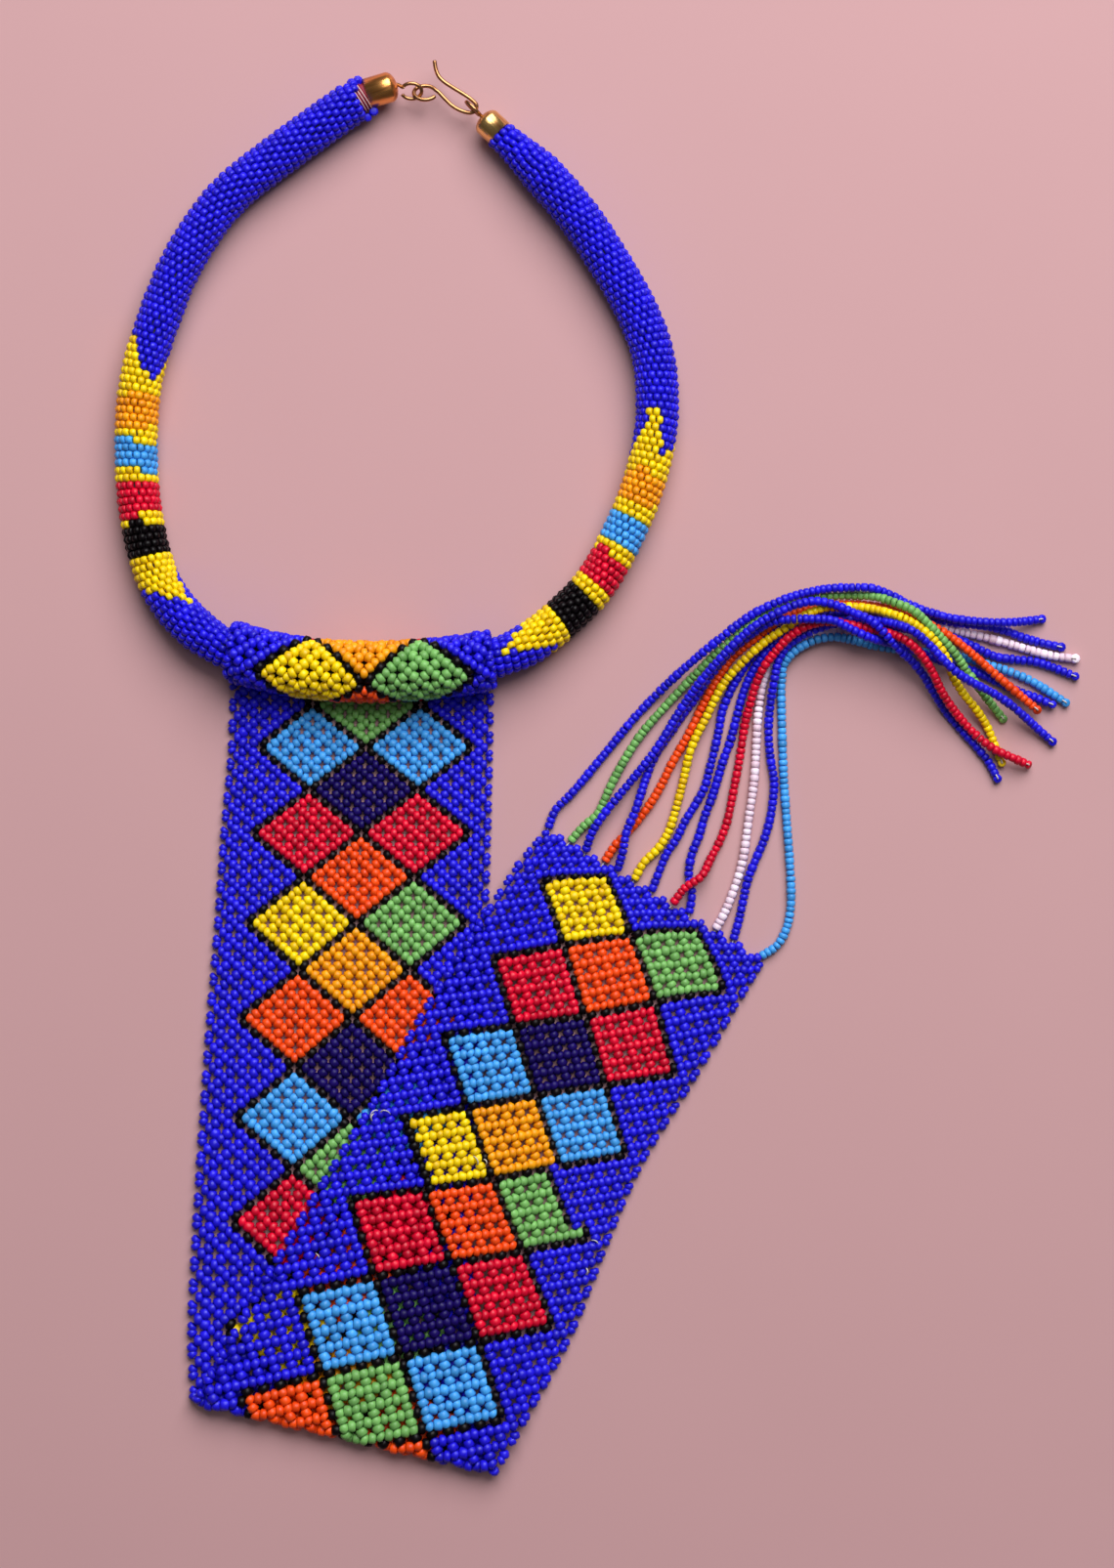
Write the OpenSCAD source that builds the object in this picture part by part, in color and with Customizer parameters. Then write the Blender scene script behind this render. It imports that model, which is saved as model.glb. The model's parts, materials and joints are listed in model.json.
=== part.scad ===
// Beaded tassel necklace, laid flat.
// A round collar tube closes with a wire hook. A band of beaded net hangs on the tube,
// is folded over once, and ends in a fringe of bead strands that trail over one another.
// The floor is z = 0, +Y runs from the band towards the clasp.

/* [Beads] */
// Diameter of one seed bead, which is also the thickness of the net
bead_d = 2.34; // [2.2:0.02:2.4]
// Outside diameter of a fringe strand's tube
strand_d = 2.2; // [2.0:0.05:2.2]

/* [Collar] */
// Outside diameter of the beaded tube worn round the neck
collar_d = 11.8; // [11.4:0.1:12]
// Diameter where the tube enters the right end cap
collar_end_d = 8.6; // [8.2:0.1:9]
// Length over which the tube narrows towards the right end cap
taper_len = 18; // [12:1:24]
// Diameter of the thread-bound core at the left end
binding_d = 7.8; // [7.4:0.1:8]
// Length of thread winding that shows in front of the left end cap
binding_len = 2.6; // [2.4:0.1:4]

/* [End caps] */
// Outside diameter of the left end cap
left_cap_d = 8.1; // [7.8:0.1:8.4]
// Length of the left end cap
left_cap_len = 8.6; // [8:0.1:9]
// Outside diameter of the right end cap
right_cap_d = 7.6; // [7.4:0.1:8]
// Length of the right end cap
right_cap_len = 6.7; // [6.4:0.1:7]
// Thickness of the end caps' brass sheet
cap_wall = 0.6; // [0.5:0.05:0.7]

/* [Clasp wire] */
// Diameter of the wire of the two eyes
eye_wire_d = 1.0; // [0.9:0.05:1.05]
// Diameter of the wire of the hook
hook_wire_d = 1.1; // [1.0:0.05:1.15]

/* [Net band] */
// Gap between the band's two layers
layer_gap = 0.5; // [0.4:0.05:0.8]
// Radius of the band's middle surface in the fold
fold_r = 2.0; // [1.9:0.1:2.4]
// Distance over which the upper layer settles from the fold
settle_len = 26; // [20:1:32]
// Distance over which the upper layer comes down beside the lower one
drop_len = 16; // [14:1:20]
// Half the width of the sleeve that the band makes round the tube
sleeve_half_w = 34.6; // [33.5:0.1:35]
// How far the sleeve squeezes the tube's radius
sleeve_squeeze = 0.4; // [0.2:0.05:0.6]
// Distance past the sleeve over which the tube stays squeezed, with the swell
squeeze_len = 11; // [10:1:14]
// Length over which the tube swells back to its full width
swell_len = 8; // [6:1:9]
// Gap between the tube and the sleeve round it
sleeve_gap = 0.35; // [0.3:0.05:0.4]

/* [Fringe] */
// Distance kept between the centre lines of crossing strands
strand_pitch = 2.45; // [2.4:0.05:2.6]
// Steepest rise of a strand that climbs over another
strand_slope = 0.36; // [0.3:0.02:0.45]

/* [Hidden] */

collar_r = collar_d / 2;
net_mid = bead_d / 2;
sleeve_mid_r = collar_r - sleeve_squeeze + sleeve_gap + bead_d / 2;
tube_lift = bead_d + sleeve_gap - sleeve_squeeze;
collar_sides = 16;
strand_sides = 8;
wire_sides = 6;
hair = 0.12;

// Centre line of the collar tube on the floor, from the left cap's mouth round to the right cap's
COLLAR = [
    [-61, 179.5], [-66, 176.3], [-77, 168.5], [-87.5, 160.8], [-96, 154], [-103.2, 145.5], [-110.8, 133],
    [-116.5, 118.5], [-119.8, 108], [-121.5, 98], [-122, 86], [-121.5, 74], [-119.5, 61.5],
    [-116.5, 51.5], [-112.5, 44.5], [-106.5, 38], [-97, 32], [-80.5, 27.8], [-62.5, 26.2], [-44, 27],
    [-30, 29], [-19, 33], [-8.5, 41], [0, 50], [6.5, 61.5], [11.5, 73], [14.8, 84.5], [16.2, 96],
    [15.2, 109.5], [11, 121.5], [4, 134], [-5, 147.5], [-14.5, 158.5], [-20.2, 164], [-25.6, 169]
];
// Point of the collar's centre line that lies in the middle of the sleeve
sleeve_point = 18;
// Length of tube that rises from the floor to the level of the sleeve
rise_len = 30;

// The end caps: mouth and heading of each
LEFT_MOUTH = [-61, 179.5];
left_heading = 17;
RIGHT_MOUTH = [-25.6, 169];
right_heading = 136.5;
core_in_cap = 4.6;
// Distance from the left cap's mouth at which the full width of the binding ends
binding_stop = 1.9;

// The band's middle line, laid out flat: row, x, y, half width to the left and to the right, turn
BAND = [
    [0, -62.4, 6.2, 34.6, 34.0, 0], [20, -63.7, -16.6, 35.4, 34.7, 0], [40, -65.0, -40.6, 35.7, 35.2, 0],
    [60, -66.8, -66.0, 36.0, 35.8, 0], [80, -68.4, -92.6, 36.2, 36.2, 0], [100, -69.7, -118.6, 36.6, 36.6, 0],
    [120, -70.5, -147.0, 37.2, 37.5, 0], [140, -67.5, -175.5, 39.0, 38.7, 3],
    [160, -64.0, -204.8, 40.7, 37.3, 5], [180, -63.0, -233.0, 39.5, 37.5, 6],
    [200, -62.8, -258.0, 37.3, 35.2, 6], [220, -62.4, -282.8, 36.6, 33.6, 7],
    [240, -60.0, -307.5, 36.4, 33.4, 6.5], [260, -58.7, -332.0, 34.9, 33.8, 4.7],
    [272, -58.0, -344.5, 32.8, 34.2, 4.7]
];
row_step = 20;
last_row = 272;
band_rim = 0.8;
// The fold runs from the left edge to the right edge along this line
FOLD_LEFT = [-107.9, -168.5];
FOLD_RIGHT = [-24.7, -188];
// Angle round the tube at which the sleeve's end is sewn to the band
seam_angle = 222;

// Fringe strands, one row each: colour, laying order, share of the way along the band's end, route
FRINGE = [
    ["#2a1fdc", 12, 0.01, [[-10.5, -10], [-6, -5.5], [1.5, 3.5], [11.5, 15.5], [21.5, 25.5], [31.5, 34],
        [41.5, 41.5], [51.5, 46], [59.5, 48], [66.5, 48.5], [74.5, 48], [84.5, 43.5], [94.5, 40.5],
        [103.5, 39.5], [111, 39.5], [119, 40.5]]],
    ["#7db85a", 10, 0.11, [[-4.5, -15.8], [-2, -13.8], [0.6, -11.3], [3, -6], [6.5, 1], [11.5, 9],
        [16.5, 15], [21.5, 20.5], [26.5, 25.8], [32.5, 32], [39.5, 38], [45.5, 41.8], [52, 44.8],
        [59, 46.4], [65.5, 46.5], [72, 46.5], [78.5, 44.5], [84, 42], [88.5, 38],
        [95.5, 30.5], [100.5, 23.5], [108, 14.5]]],
    ["#2a1fdc", 11, 0.18, [[-1, -16.3], [2.5, -11], [9.5, -2.5], [16.5, 6.5], [22, 15.5], [27.5, 23.5],
        [34.5, 31.5], [41.5, 38], [49.5, 42.5], [55.5, 44.5], [61, 44.5], [69.5, 41], [74, 38.5],
        [78.5, 33.5], [86, 26.5], [93.5, 15.5], [103.5, 4], [107, -2]]],
    ["#ff5a1e", 6, 0.265, [[5, -20], [7.5, -17.5], [12.5, -11.5], [16.5, -5.5], [20.5, 2.5], [24.5, 9.5],
        [28.5, 17.5], [32.5, 24.5], [36.5, 30.5], [41.5, 34.5], [48, 39.6], [54, 42.4], [60, 43.8],
        [66, 44.3], [75, 43.5], [87, 39.5], [95.5, 34.5], [107.5, 24.5], [117.5, 16]]],
    ["#2a1fdc", 9, 0.325, [[7, -22], [8, -16.5], [10.5, -10.5], [12.5, -4.5], [15.5, 3.5], [21.5, 12.5],
        [26.5, 19.5], [30.5, 25.5], [35.5, 31.5], [41.5, 36.5], [47, 39.5], [55.5, 40], [63, 39.5],
        [71, 35.5], [82, 33], [92.5, 29], [99.5, 27], [112, 21.5], [122, 17.5]]],
    ["#ffd60a", 7, 0.4, [[12.3, -25], [15.5, -22], [19, -17], [21.5, -9.5], [23.5, -1.5], [25.5, 6.5],
        [29.5, 14.5], [33.5, 22.5], [38.5, 28.5], [44.5, 34], [50.5, 38], [58, 42.5], [67.5, 43.5],
        [76, 42], [85, 38], [91.5, 31.5], [95.5, 23], [103.5, 13], [108, 2.5]]],
    ["#2a1fdc", 4, 0.48, [[16.6, -27.5], [18, -23.5], [21, -19], [24.5, -12], [28.5, -5.5], [30.5, 1.5],
        [32.5, 9.5], [33.5, 15.5], [36, 21.5], [40, 28.5], [44.5, 34.5], [50, 38.6], [56, 40.8], [62, 41.6],
        [70, 42.8], [79.5, 43.6], [87, 41.5], [95, 39.5], [107, 38], [115.5, 35], [124, 33]]],
    ["#d9102e", 8, 0.575, [[22.8, -31.8], [25.5, -30], [28.5, -27.5], [30.5, -23.5], [34, -16.5],
        [35.5, -11], [37, -3.5], [38.5, 4.5], [39.5, 11.5], [41.5, 19.5], [44.5, 27.5], [52.5, 36.5],
        [61, 39.5], [70, 38], [79.5, 35.5], [87, 29], [93.5, 18], [104, 7], [115.5, 1.5]]],
    ["#2a1fdc", 3, 0.65, [[25.6, -33], [24.8, -30], [25, -24], [27, -19], [28.5, -13.5], [31.5, -5.5],
        [33.5, 1.5], [36, 8.5], [37.5, 14.5], [39.5, 21.5], [42, 27], [46, 32.5], [51, 36.6], [56, 38.4],
        [62, 39.1], [70, 38.9], [79.5, 38], [95, 35.5], [106.5, 30.5], [117.5, 29], [127, 25.5]]],
    ["#f6e4f0", 1, 0.77, [[34.2, -38], [35.3, -35.5], [37, -31], [39, -24.5], [40, -18], [41, -10.5],
        [42, -4], [42.5, 2.5], [43, 12.5], [43.5, 17.5], [45, 25], [49, 31.6], [54, 35.2], [60, 36.7],
        [67, 37.6], [75.5, 39.5], [83, 40.5], [93.5, 38], [106, 35], [120, 31], [127, 30]]],
    ["#2a1fdc", 5, 0.85, [[38, -40.3], [38.3, -38], [39.5, -33.5], [40.5, -29], [42, -25], [44, -20.5],
        [46, -14.5], [47, -9], [47.5, -3.5], [46.5, 3.5], [46, 11.5], [47, 22], [49.5, 31.5], [56, 36.5],
        [67, 40], [76, 39.5], [85, 35.5], [95.5, 25.5], [108.5, 18.5], [122, 7.5]]],
    ["#4db8f0", 2, 0.975, [[47, -47.6], [49.5, -45], [51.2, -40.5], [52, -34.5], [51.7, -25], [50.8, -13],
        [50, -1], [49.5, 14], [49.5, 24.5], [50.5, 29.5], [53, 32], [59, 35], [65.5, 35.5],
        [73.5, 33.5], [88.5, 31.5], [97, 30.5], [108.5, 27], [116, 24], [125.5, 18]]]
];
attach_gap = 0.8;
strand_rings = 30;
checks_per_ring = 4;

// The hook's wire after its closed loop: shank, bend round the right eye, return arm and tip
HOOK = [
    [-41.7, 180.0, 5.5], [-40.1, 178.3, 5.5], [-38.2, 176.5, 5.5], [-35.9, 175.2, 5.5], [-33.5, 174.6, 5.6],
    [-32.1, 175.2, 5.9], [-31.8, 176.6, 6.3], [-33.3, 178.1, 6.5], [-35.2, 179.4, 6.5],
    [-38.1, 181.2, 6.4], [-40.2, 182.6, 6.3], [-41.7, 184.1, 6.3], [-42.5, 186.0, 6.4], [-42.9, 188.3, 6.6]
];
hook_loop_at = [-45.4, 179.9, 5.7];
hook_loop_a = 2.96;
hook_loop_b = 2.3;
left_eye_at = [-49.0, 180.3, 5.9];
left_eye_a = 2.7;
left_eye_b = 2.1;
// Opposite tilts let the eye and the hook's loop pass through each other
loop_tilt = 27;
right_eye_a = 2.5;
right_eye_b = 1.8;

function strand_name(k) = str("fringe_strand_", k < 10 ? "0" : "", k);

// Curves
function clamp(x, low, high) = min(max(x, low), high);
function smooth(x) = let (t = clamp(x, 0, 1)) t * t * (3 - 2 * t);
function mix(a, b, t) = a + (b - a) * t;
function unit(v) = v / norm(v);
function spline(p, t) =
    let (i = clamp(floor(t), 0, len(p) - 2), f = t - i, b = p[i], c = p[i + 1],
         a = i > 0 ? p[i - 1] : 2 * b - c, d = i < len(p) - 2 ? p[i + 2] : 2 * c - b)
    b + f * ((c - a) / 2 + f * (a - 2.5 * b + 2 * c - d / 2 + f * (1.5 * (b - c) + (d - a) / 2)));
// Rows of [distance along the curve, spline parameter]
function arc_table(p, per = 8) =
    let (n = (len(p) - 1) * per, q = [for (i = [0 : n]) spline(p, i / per)])
    [for (i = 0, s = 0; i <= n; s = s + norm(q[min(i + 1, n)] - q[i]), i = i + 1) [s, i / per]];
function arc_length(table) = table[len(table) - 1][0];
function along(p, table, s) = spline(p, lookup(s, table));

// Swept tubes
function tangent(path, i) =
    let (n = len(path) - 1) unit(path[min(i + 1, n)] - path[max(i - 1, 0)]);
function ring(path, i, r, sides) =
    let (t = tangent(path, i), side = unit(cross([0, 0, 1], t)), up = cross(t, side))
    [for (k = [0 : sides - 1]) let (a = 360 * k / sides - 90) path[i] + r * (cos(a) * side + sin(a) * up)];
function tube_faces(rings, sides) =
    let (last = (rings - 1) * sides)
    concat(
        [[for (k = [0 : sides - 1]) k]],
        [for (j = [0 : rings - 2], k = [0 : sides - 1])
            let (a = j * sides + k, b = j * sides + (k + 1) % sides) [a, a + sides, b + sides, b]],
        [[for (k = [sides - 1 : -1 : 0]) last + k]]
    );
module swept(path, radii, sides) {
    points = [for (i = [0 : len(path) - 1]) each ring(path, i, radii[i], sides)];
    polyhedron(points, tube_faces(len(path), sides), convexity = 8);
}
// A closed surface over a grid of points: top rows, then bottom rows
function slab_faces(rows, cols) =
    let (n = rows * cols)
    concat(
        [for (r = [0 : rows - 2], c = [0 : cols - 2]) let (a = r * cols + c)
            each [[a, a + 1, a + cols + 1], [a, a + cols + 1, a + cols]]],
        [for (r = [0 : rows - 2], c = [0 : cols - 2]) let (a = n + r * cols + c)
            each [[a, a + cols + 1, a + 1], [a, a + cols, a + cols + 1]]],
        [for (r = [0 : rows - 2], c = [0, cols - 1]) let (a = r * cols + c, b = a + cols, d = c == 0)
            each d ? [[a, b, n + b], [a, n + b, n + a]] : [[a, n + b, b], [a, n + a, n + b]]],
        [for (c = [0 : cols - 2], r = [0, rows - 1]) let (a = r * cols + c, b = a + 1, d = r == 0)
            each d ? [[a, n + b, b], [a, n + a, n + b]] : [[a, b, n + b], [a, n + b, n + a]]]
    );
module slab(middle, normals) {
    rows = len(middle);
    cols = len(middle[0]);
    points = concat(
        [for (r = [0 : rows - 1], c = [0 : cols - 1]) middle[r][c] + normals[r][c] * bead_d / 2],
        [for (r = [0 : rows - 1], c = [0 : cols - 1]) middle[r][c] - normals[r][c] * bead_d / 2]
    );
    polyhedron(points, slab_faces(rows, cols), convexity = 10);
}

// Collar
collar_arc = arc_table(COLLAR);
collar_len = arc_length(collar_arc);
left_rings = 22;
right_rings = 27;
sleeve_s = lookup(sleeve_point, [for (e = collar_arc) [e[1], e[0]]]);
sleeve_cols = 14;
sleeve_stops = [for (c = [0 : sleeve_cols]) sleeve_s + mix(-sleeve_half_w, sleeve_half_w, c / sleeve_cols)];
function collar_z(s) =
    collar_r + tube_lift * smooth((sleeve_half_w + rise_len - abs(s - sleeve_s)) / rise_len);
function collar_at(s) = let (p = along(COLLAR, collar_arc, s)) [p[0], p[1], collar_z(s)];
function collar_side(s) = unit(cross([0, 0, 1], collar_at(s + 1) - collar_at(s - 1)));
function squeezed(s) =
    collar_r - sleeve_squeeze * smooth((sleeve_half_w + squeeze_len - abs(s - sleeve_s)) / swell_len);
function collar_radius(s) =
    let (left = s - binding_len, right = collar_len - s)
    left < 2 ? mix(binding_d / 2 + 0.4, collar_r, sqrt(1 - pow(1 - left / 2, 2)))
    : right < taper_len ? mix(collar_end_d / 2, collar_r, smooth(right / taper_len))
    : squeezed(s);
function cap_point(mouth, heading, depth) =
    [mouth[0] + depth * cos(heading), mouth[1] + depth * sin(heading), collar_r];

module collar_tube() {
    stops = concat(
        [for (x = [0, 0.4, 1.1, 2.2, 5]) binding_len + hair + x],
        [for (i = [1 : left_rings]) mix(binding_len + 5, sleeve_s - sleeve_half_w, i / (left_rings + 1))],
        sleeve_stops,
        [for (i = [1 : right_rings]) mix(sleeve_s + sleeve_half_w, collar_len - 0.5, i / right_rings)]
    );
    core = [for (d = [-0.25, 1, core_in_cap - 0.8]) cap_point(RIGHT_MOUTH, right_heading, d)];
    path = concat([for (s = stops) collar_at(s)], core);
    core_r = right_cap_d / 2 - cap_wall - 0.25;
    radii = concat([for (s = stops) collar_radius(s)], [for (p = core) core_r]);
    color("#2a1fdc") swept(path, radii, collar_sides);
}

// The bound core goes on into the left cap
module end_binding() {
    bound = [for (i = [0 : 3]) collar_at(mix(binding_len, binding_stop, i / 3))];
    core = [for (d = [-0.5, 0.4, core_in_cap]) cap_point(LEFT_MOUTH, left_heading, d)];
    core_r = left_cap_d / 2 - cap_wall - 0.35;
    radii = concat([for (p = bound) binding_d / 2], [for (p = core) core_r]);
    color("#7a1a30") swept(concat(bound, core), radii, collar_sides);
}

// End caps: a cup of thin brass with a domed end and a hole for the eye's wire
module end_cap(d, length) {
    dome = d * 0.3;
    steps = 8;
    function arc(r, rise, base) = [for (i = [0 : steps]) let (a = 90 * i / steps)
        [max(r * cos(a), eye_wire_d / 2 + hair), base + rise * sin(a)]];
    outer = arc(d / 2, dome, length - dome);
    inner = arc(d / 2 - cap_wall, dome - cap_wall, length - dome);
    rotate_extrude($fn = 48)
        polygon(concat([[d / 2 - cap_wall, 0], [d / 2, 0]], outer, [for (i = [steps : -1 : 0]) inner[i]]));
}
module placed_cap(mouth, heading) {
    translate([mouth[0], mouth[1], collar_r]) rotate([0, 90, heading]) children();
}
module left_end_cap() {
    color("#d39a45") placed_cap(LEFT_MOUTH, left_heading) end_cap(left_cap_d, left_cap_len);
}
module right_end_cap() {
    color("#d39a45") placed_cap(RIGHT_MOUTH, right_heading) end_cap(right_cap_d, right_cap_len);
}

// Wire eyes: a stem out of the cap and one turn that ends beside the stem
function oval(at, a, b, u, v, from, to, steps) =
    [for (i = [0 : steps]) let (t = mix(from, to, i / steps)) at + a * cos(t) * u + b * sin(t) * v];
module left_eye() {
    u = [1, 0, 0];
    v = [0, cos(loop_tilt), sin(loop_tilt)];
    stem = [for (d = [left_cap_len - 1.4, left_cap_len + 0.1]) cap_point(LEFT_MOUTH, left_heading, d)];
    turn = oval(left_eye_at, left_eye_a, left_eye_b, u, v, 150, -156, 18);
    path = concat(stem, turn);
    color("#b5763a") swept(path, [for (p = path) eye_wire_d / 2], wire_sides);
}
module right_eye() {
    u = [cos(right_heading), sin(right_heading), 0];
    v = [0, 0, 1];
    neck = cap_point(RIGHT_MOUTH, right_heading, right_cap_len + 0.1);
    stem = [for (d = [right_cap_len - 1.4, right_cap_len]) cap_point(RIGHT_MOUTH, right_heading, d)];
    turn = oval(neck + (right_eye_a + 0.4) * u, right_eye_a, right_eye_b, u, v, 152, -152, 18);
    path = concat(stem, turn);
    color("#b5763a") upright_wire(path, eye_wire_d / 2);
}
// A wire in an upright plane, where the floor's normal can't steer the rings
module upright_wire(path, r) {
    side = unit(cross(path[0] - path[1], [0, 0, 1]));
    points = [for (i = [0 : len(path) - 1]) let (up = cross(tangent(path, i), side))
        for (k = [0 : wire_sides - 1]) let (a = 360 * k / wire_sides)
            path[i] + r * (cos(a) * side + sin(a) * up)];
    polyhedron(points, tube_faces(len(path), wire_sides), convexity = 6);
}
module clasp_hook() {
    v = [0, cos(loop_tilt), -sin(loop_tilt)];
    loop = oval(hook_loop_at, hook_loop_a, hook_loop_b, [1, 0, 0], v, -28, -325, 18);
    arm = [for (i = [0 : 2 * (len(HOOK) - 1)]) spline(HOOK, i / 2)];
    path = concat(loop, arm);
    last = len(path) - 1;
    radii = [for (i = [0 : last]) hook_wire_d / 2 * (i == last ? 1.15 : 1)];
    color("#b5763a") swept(path, radii, wire_sides);
}

// The band's end is wrapped round the tube as a sleeve
sleeve_steps = 20;
module collar_sleeve() {
    around = [for (i = [0 : sleeve_steps]) mix(-90, seam_angle, i / sleeve_steps)];
    // The sleeve's two ends lean in a little, as the band pulls them down
    function out(a, s) = cos(a) * unit(collar_side(s) + [0, 1, 0]) + [0, 0, sin(a)];
    normals = [for (a = around) [for (s = sleeve_stops) out(a, s)]];
    middle = [for (a = around) [for (s = sleeve_stops) collar_at(s) + sleeve_mid_r * out(a, s)]];
    color("#2a1fdc") slab(middle, normals);
}

// The band laid out flat
fold_dir = unit(FOLD_RIGHT - FOLD_LEFT);
fold_away = [fold_dir[1], -fold_dir[0]];
fold_start = -PI * fold_r / 2;
function past_fold(p) = (p - FOLD_LEFT) * fold_away;
function band_row(v) =
    let (t = v < 260 ? v / row_step : 13 + (v - 260) / (last_row - 260)) spline(BAND, t);
function flat_edge(side, v) =
    let (b = band_row(v), w = side * ((side < 0 ? b[3] : b[4]) + band_rim))
    [b[1] + w * cos(b[5]), b[2] + w * sin(b[5])];
// Row position at which an edge of the flat band is a given distance past the fold
function row_past(side, distance, low = 100, high = 200, n = 16) =
    let (m = (low + high) / 2)
    n == 0 ? m
           : past_fold(flat_edge(side, m)) < distance ? row_past(side, distance, m, high, n - 1)
                                                      : row_past(side, distance, low, m, n - 1);
// Distance of a point beyond the lower layer's right edge
function beyond_edge(p) =
    let (v = lookup(-p[1], [for (b = BAND) [-b[2], b[0]]]), e = flat_edge(1, clamp(v, 0, 150)))
    p[0] - e[0];
function upper_z(p) =
    let (q = -past_fold(p), stack = bead_d + layer_gap, hump = 2 * fold_r - stack)
    net_mid + (stack + hump * (1 - smooth(q / settle_len)))
            * (1 - smooth((beyond_edge(p) - 4) / drop_len));
function upper_normal(p) =
    let (h = 1, dx = upper_z(p + [h, 0]) - upper_z(p - [h, 0]),
         dy = upper_z(p + [0, h]) - upper_z(p - [0, h]))
    -unit([-dx, -dy, 2 * h]);
function folded(p) =
    let (q = past_fold(p), foot = p - q * fold_away, phi = (q - fold_start) / fold_r * 180 / PI)
    q <= fold_start ? [[p[0], p[1], net_mid], [0, 0, 1]]
    : phi < 180 ?
        let (h = foot + (fold_start + fold_r * sin(phi)) * fold_away, s = sin(phi))
        [[h[0], h[1], net_mid + fold_r * (1 - cos(phi))], [-s * fold_away[0], -s * fold_away[1], cos(phi)]]
    : let (h = foot - q * fold_away) [[h[0], h[1], upper_z(h)], upper_normal(h)];

band_cols = 12;
sleeve_clearance = 0.2;
lower_rows = 16;
fold_rows = 7;
upper_rows = 26;
module beaded_panel() {
    function across(left, right) = [for (c = [0 : band_cols]) mix(left, right, c / band_cols)];
    function row_at(distance) =
        across(flat_edge(-1, row_past(-1, distance)), flat_edge(1, row_past(1, distance)));
    under = [for (s = across(sleeve_s - sleeve_half_w, sleeve_s + sleeve_half_w))
        let (p = collar_at(s)) [p[0], p[1] - sleeve_clearance]];
    first = across(flat_edge(-1, 0), flat_edge(1, 0));
    function rows_between(from_left, from_right, to_left, to_right, n) =
        [for (i = [1 : n]) across(
            flat_edge(-1, mix(from_left, to_left, i / n)), flat_edge(1, mix(from_right, to_right, i / n)))];
    flat = concat(
        [under, [for (c = [0 : band_cols]) mix(under[c], first[c], 0.4)], first],
        rows_between(0, 0, row_past(-1, fold_start), row_past(1, fold_start), lower_rows),
        [for (i = [1 : fold_rows]) row_at(mix(fold_start, -fold_start, i / fold_rows))],
        rows_between(row_past(-1, -fold_start), row_past(1, -fold_start), last_row, last_row, upper_rows)
    );
    solid = [for (r = flat) [for (p = r) folded(p)]];
    color("#3a2fe0") slab([for (r = solid) [for (e = r) e[0]]], [for (r = solid) [for (e = r) e[1]]]);
}

// Fringe: each strand is draped over those laid before it
strand_floor = strand_d / 2;
near_reach = 9;
function end_corner(side) = let (p = folded(flat_edge(side, last_row))[0]) [p[0], p[1]];
// Where a strand's thread leaves the band's end
function attached(share) =
    let (a = end_corner(-1), b = end_corner(1), d = unit(b - a))
    mix(a, b, share) + attach_gap * [-d[1], d[0]];
function strand_flat(k) =
    let (route = concat([attached(FRINGE[k][2])], FRINGE[k][3]),
         table = arc_table(route, 4), total = arc_length(table))
    [for (i = [0 : strand_rings]) along(route, table, total * i / strand_rings)];
// Height that a laid strand's piece from a to b asks of a point above it
function rest_on(p, a, b) =
    let (d = [b[0] - a[0], b[1] - a[1]], w = [p[0] - a[0], p[1] - a[1]],
         t = clamp((w * d) / (d * d), 0, 1), gap = norm(w - t * d))
    gap < strand_pitch ? mix(a[2], b[2], t) + sqrt(strand_pitch * strand_pitch - gap * gap) : 0;
function near(p, a, reach) = abs(p[0] - a[0]) < reach && abs(p[1] - a[1]) < reach;
function height_over(p, laid) =
    max([strand_floor, for (s = laid, i = [0 : strand_rings - 1])
        if (near(p, s[i], near_reach)) rest_on(p, s[i], s[i + 1])]);
function draped(k, laid) =
    let (xy = strand_flat(k), n = strand_rings, m = checks_per_ring,
         step = norm(xy[1] - xy[0]),
         need = [for (j = [0 : n * m]) let (i = min(floor(j / m), n - 1))
             height_over(mix(xy[i], xy[i + 1], j / m - i), laid)],
         held = [for (i = [0 : n]) max([for (j = [max(0, (i - 1) * m) : min(n * m, (i + 1) * m)]) need[j]])])
    [for (i = [0 : n]) [xy[i][0], xy[i][1],
        max([for (j = [0 : n]) held[j] - strand_slope * step * abs(i - j)])]];
function strand_laid(order) = [for (k = [0 : len(FRINGE) - 1]) if (FRINGE[k][1] == order) k][0];
function pile(count) =
    count == 0 ? [] : let (laid = pile(count - 1)) concat(laid, [draped(strand_laid(count), laid)]);
module fringe_strand(k) {
    order = FRINGE[k - 1][1];
    path = pile(order)[order - 1];
    color(FRINGE[k - 1][0]) swept(path, [for (p = path) strand_d / 2], strand_sides);
}

collar_tube();
end_binding();
left_end_cap();
right_end_cap();
left_eye();
right_eye();
clasp_hook();
collar_sleeve();
beaded_panel();
for (k = [1 : len(FRINGE)]) fringe_strand(k);
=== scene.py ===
"""Dresses a seed-bead necklace that lies flat: woven collar tube, folded net band, fringe and brass clasp.

Lengths in the tables and functions below are millimetres, and a mesh turns them into metres.
"""

import json
import math

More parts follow.
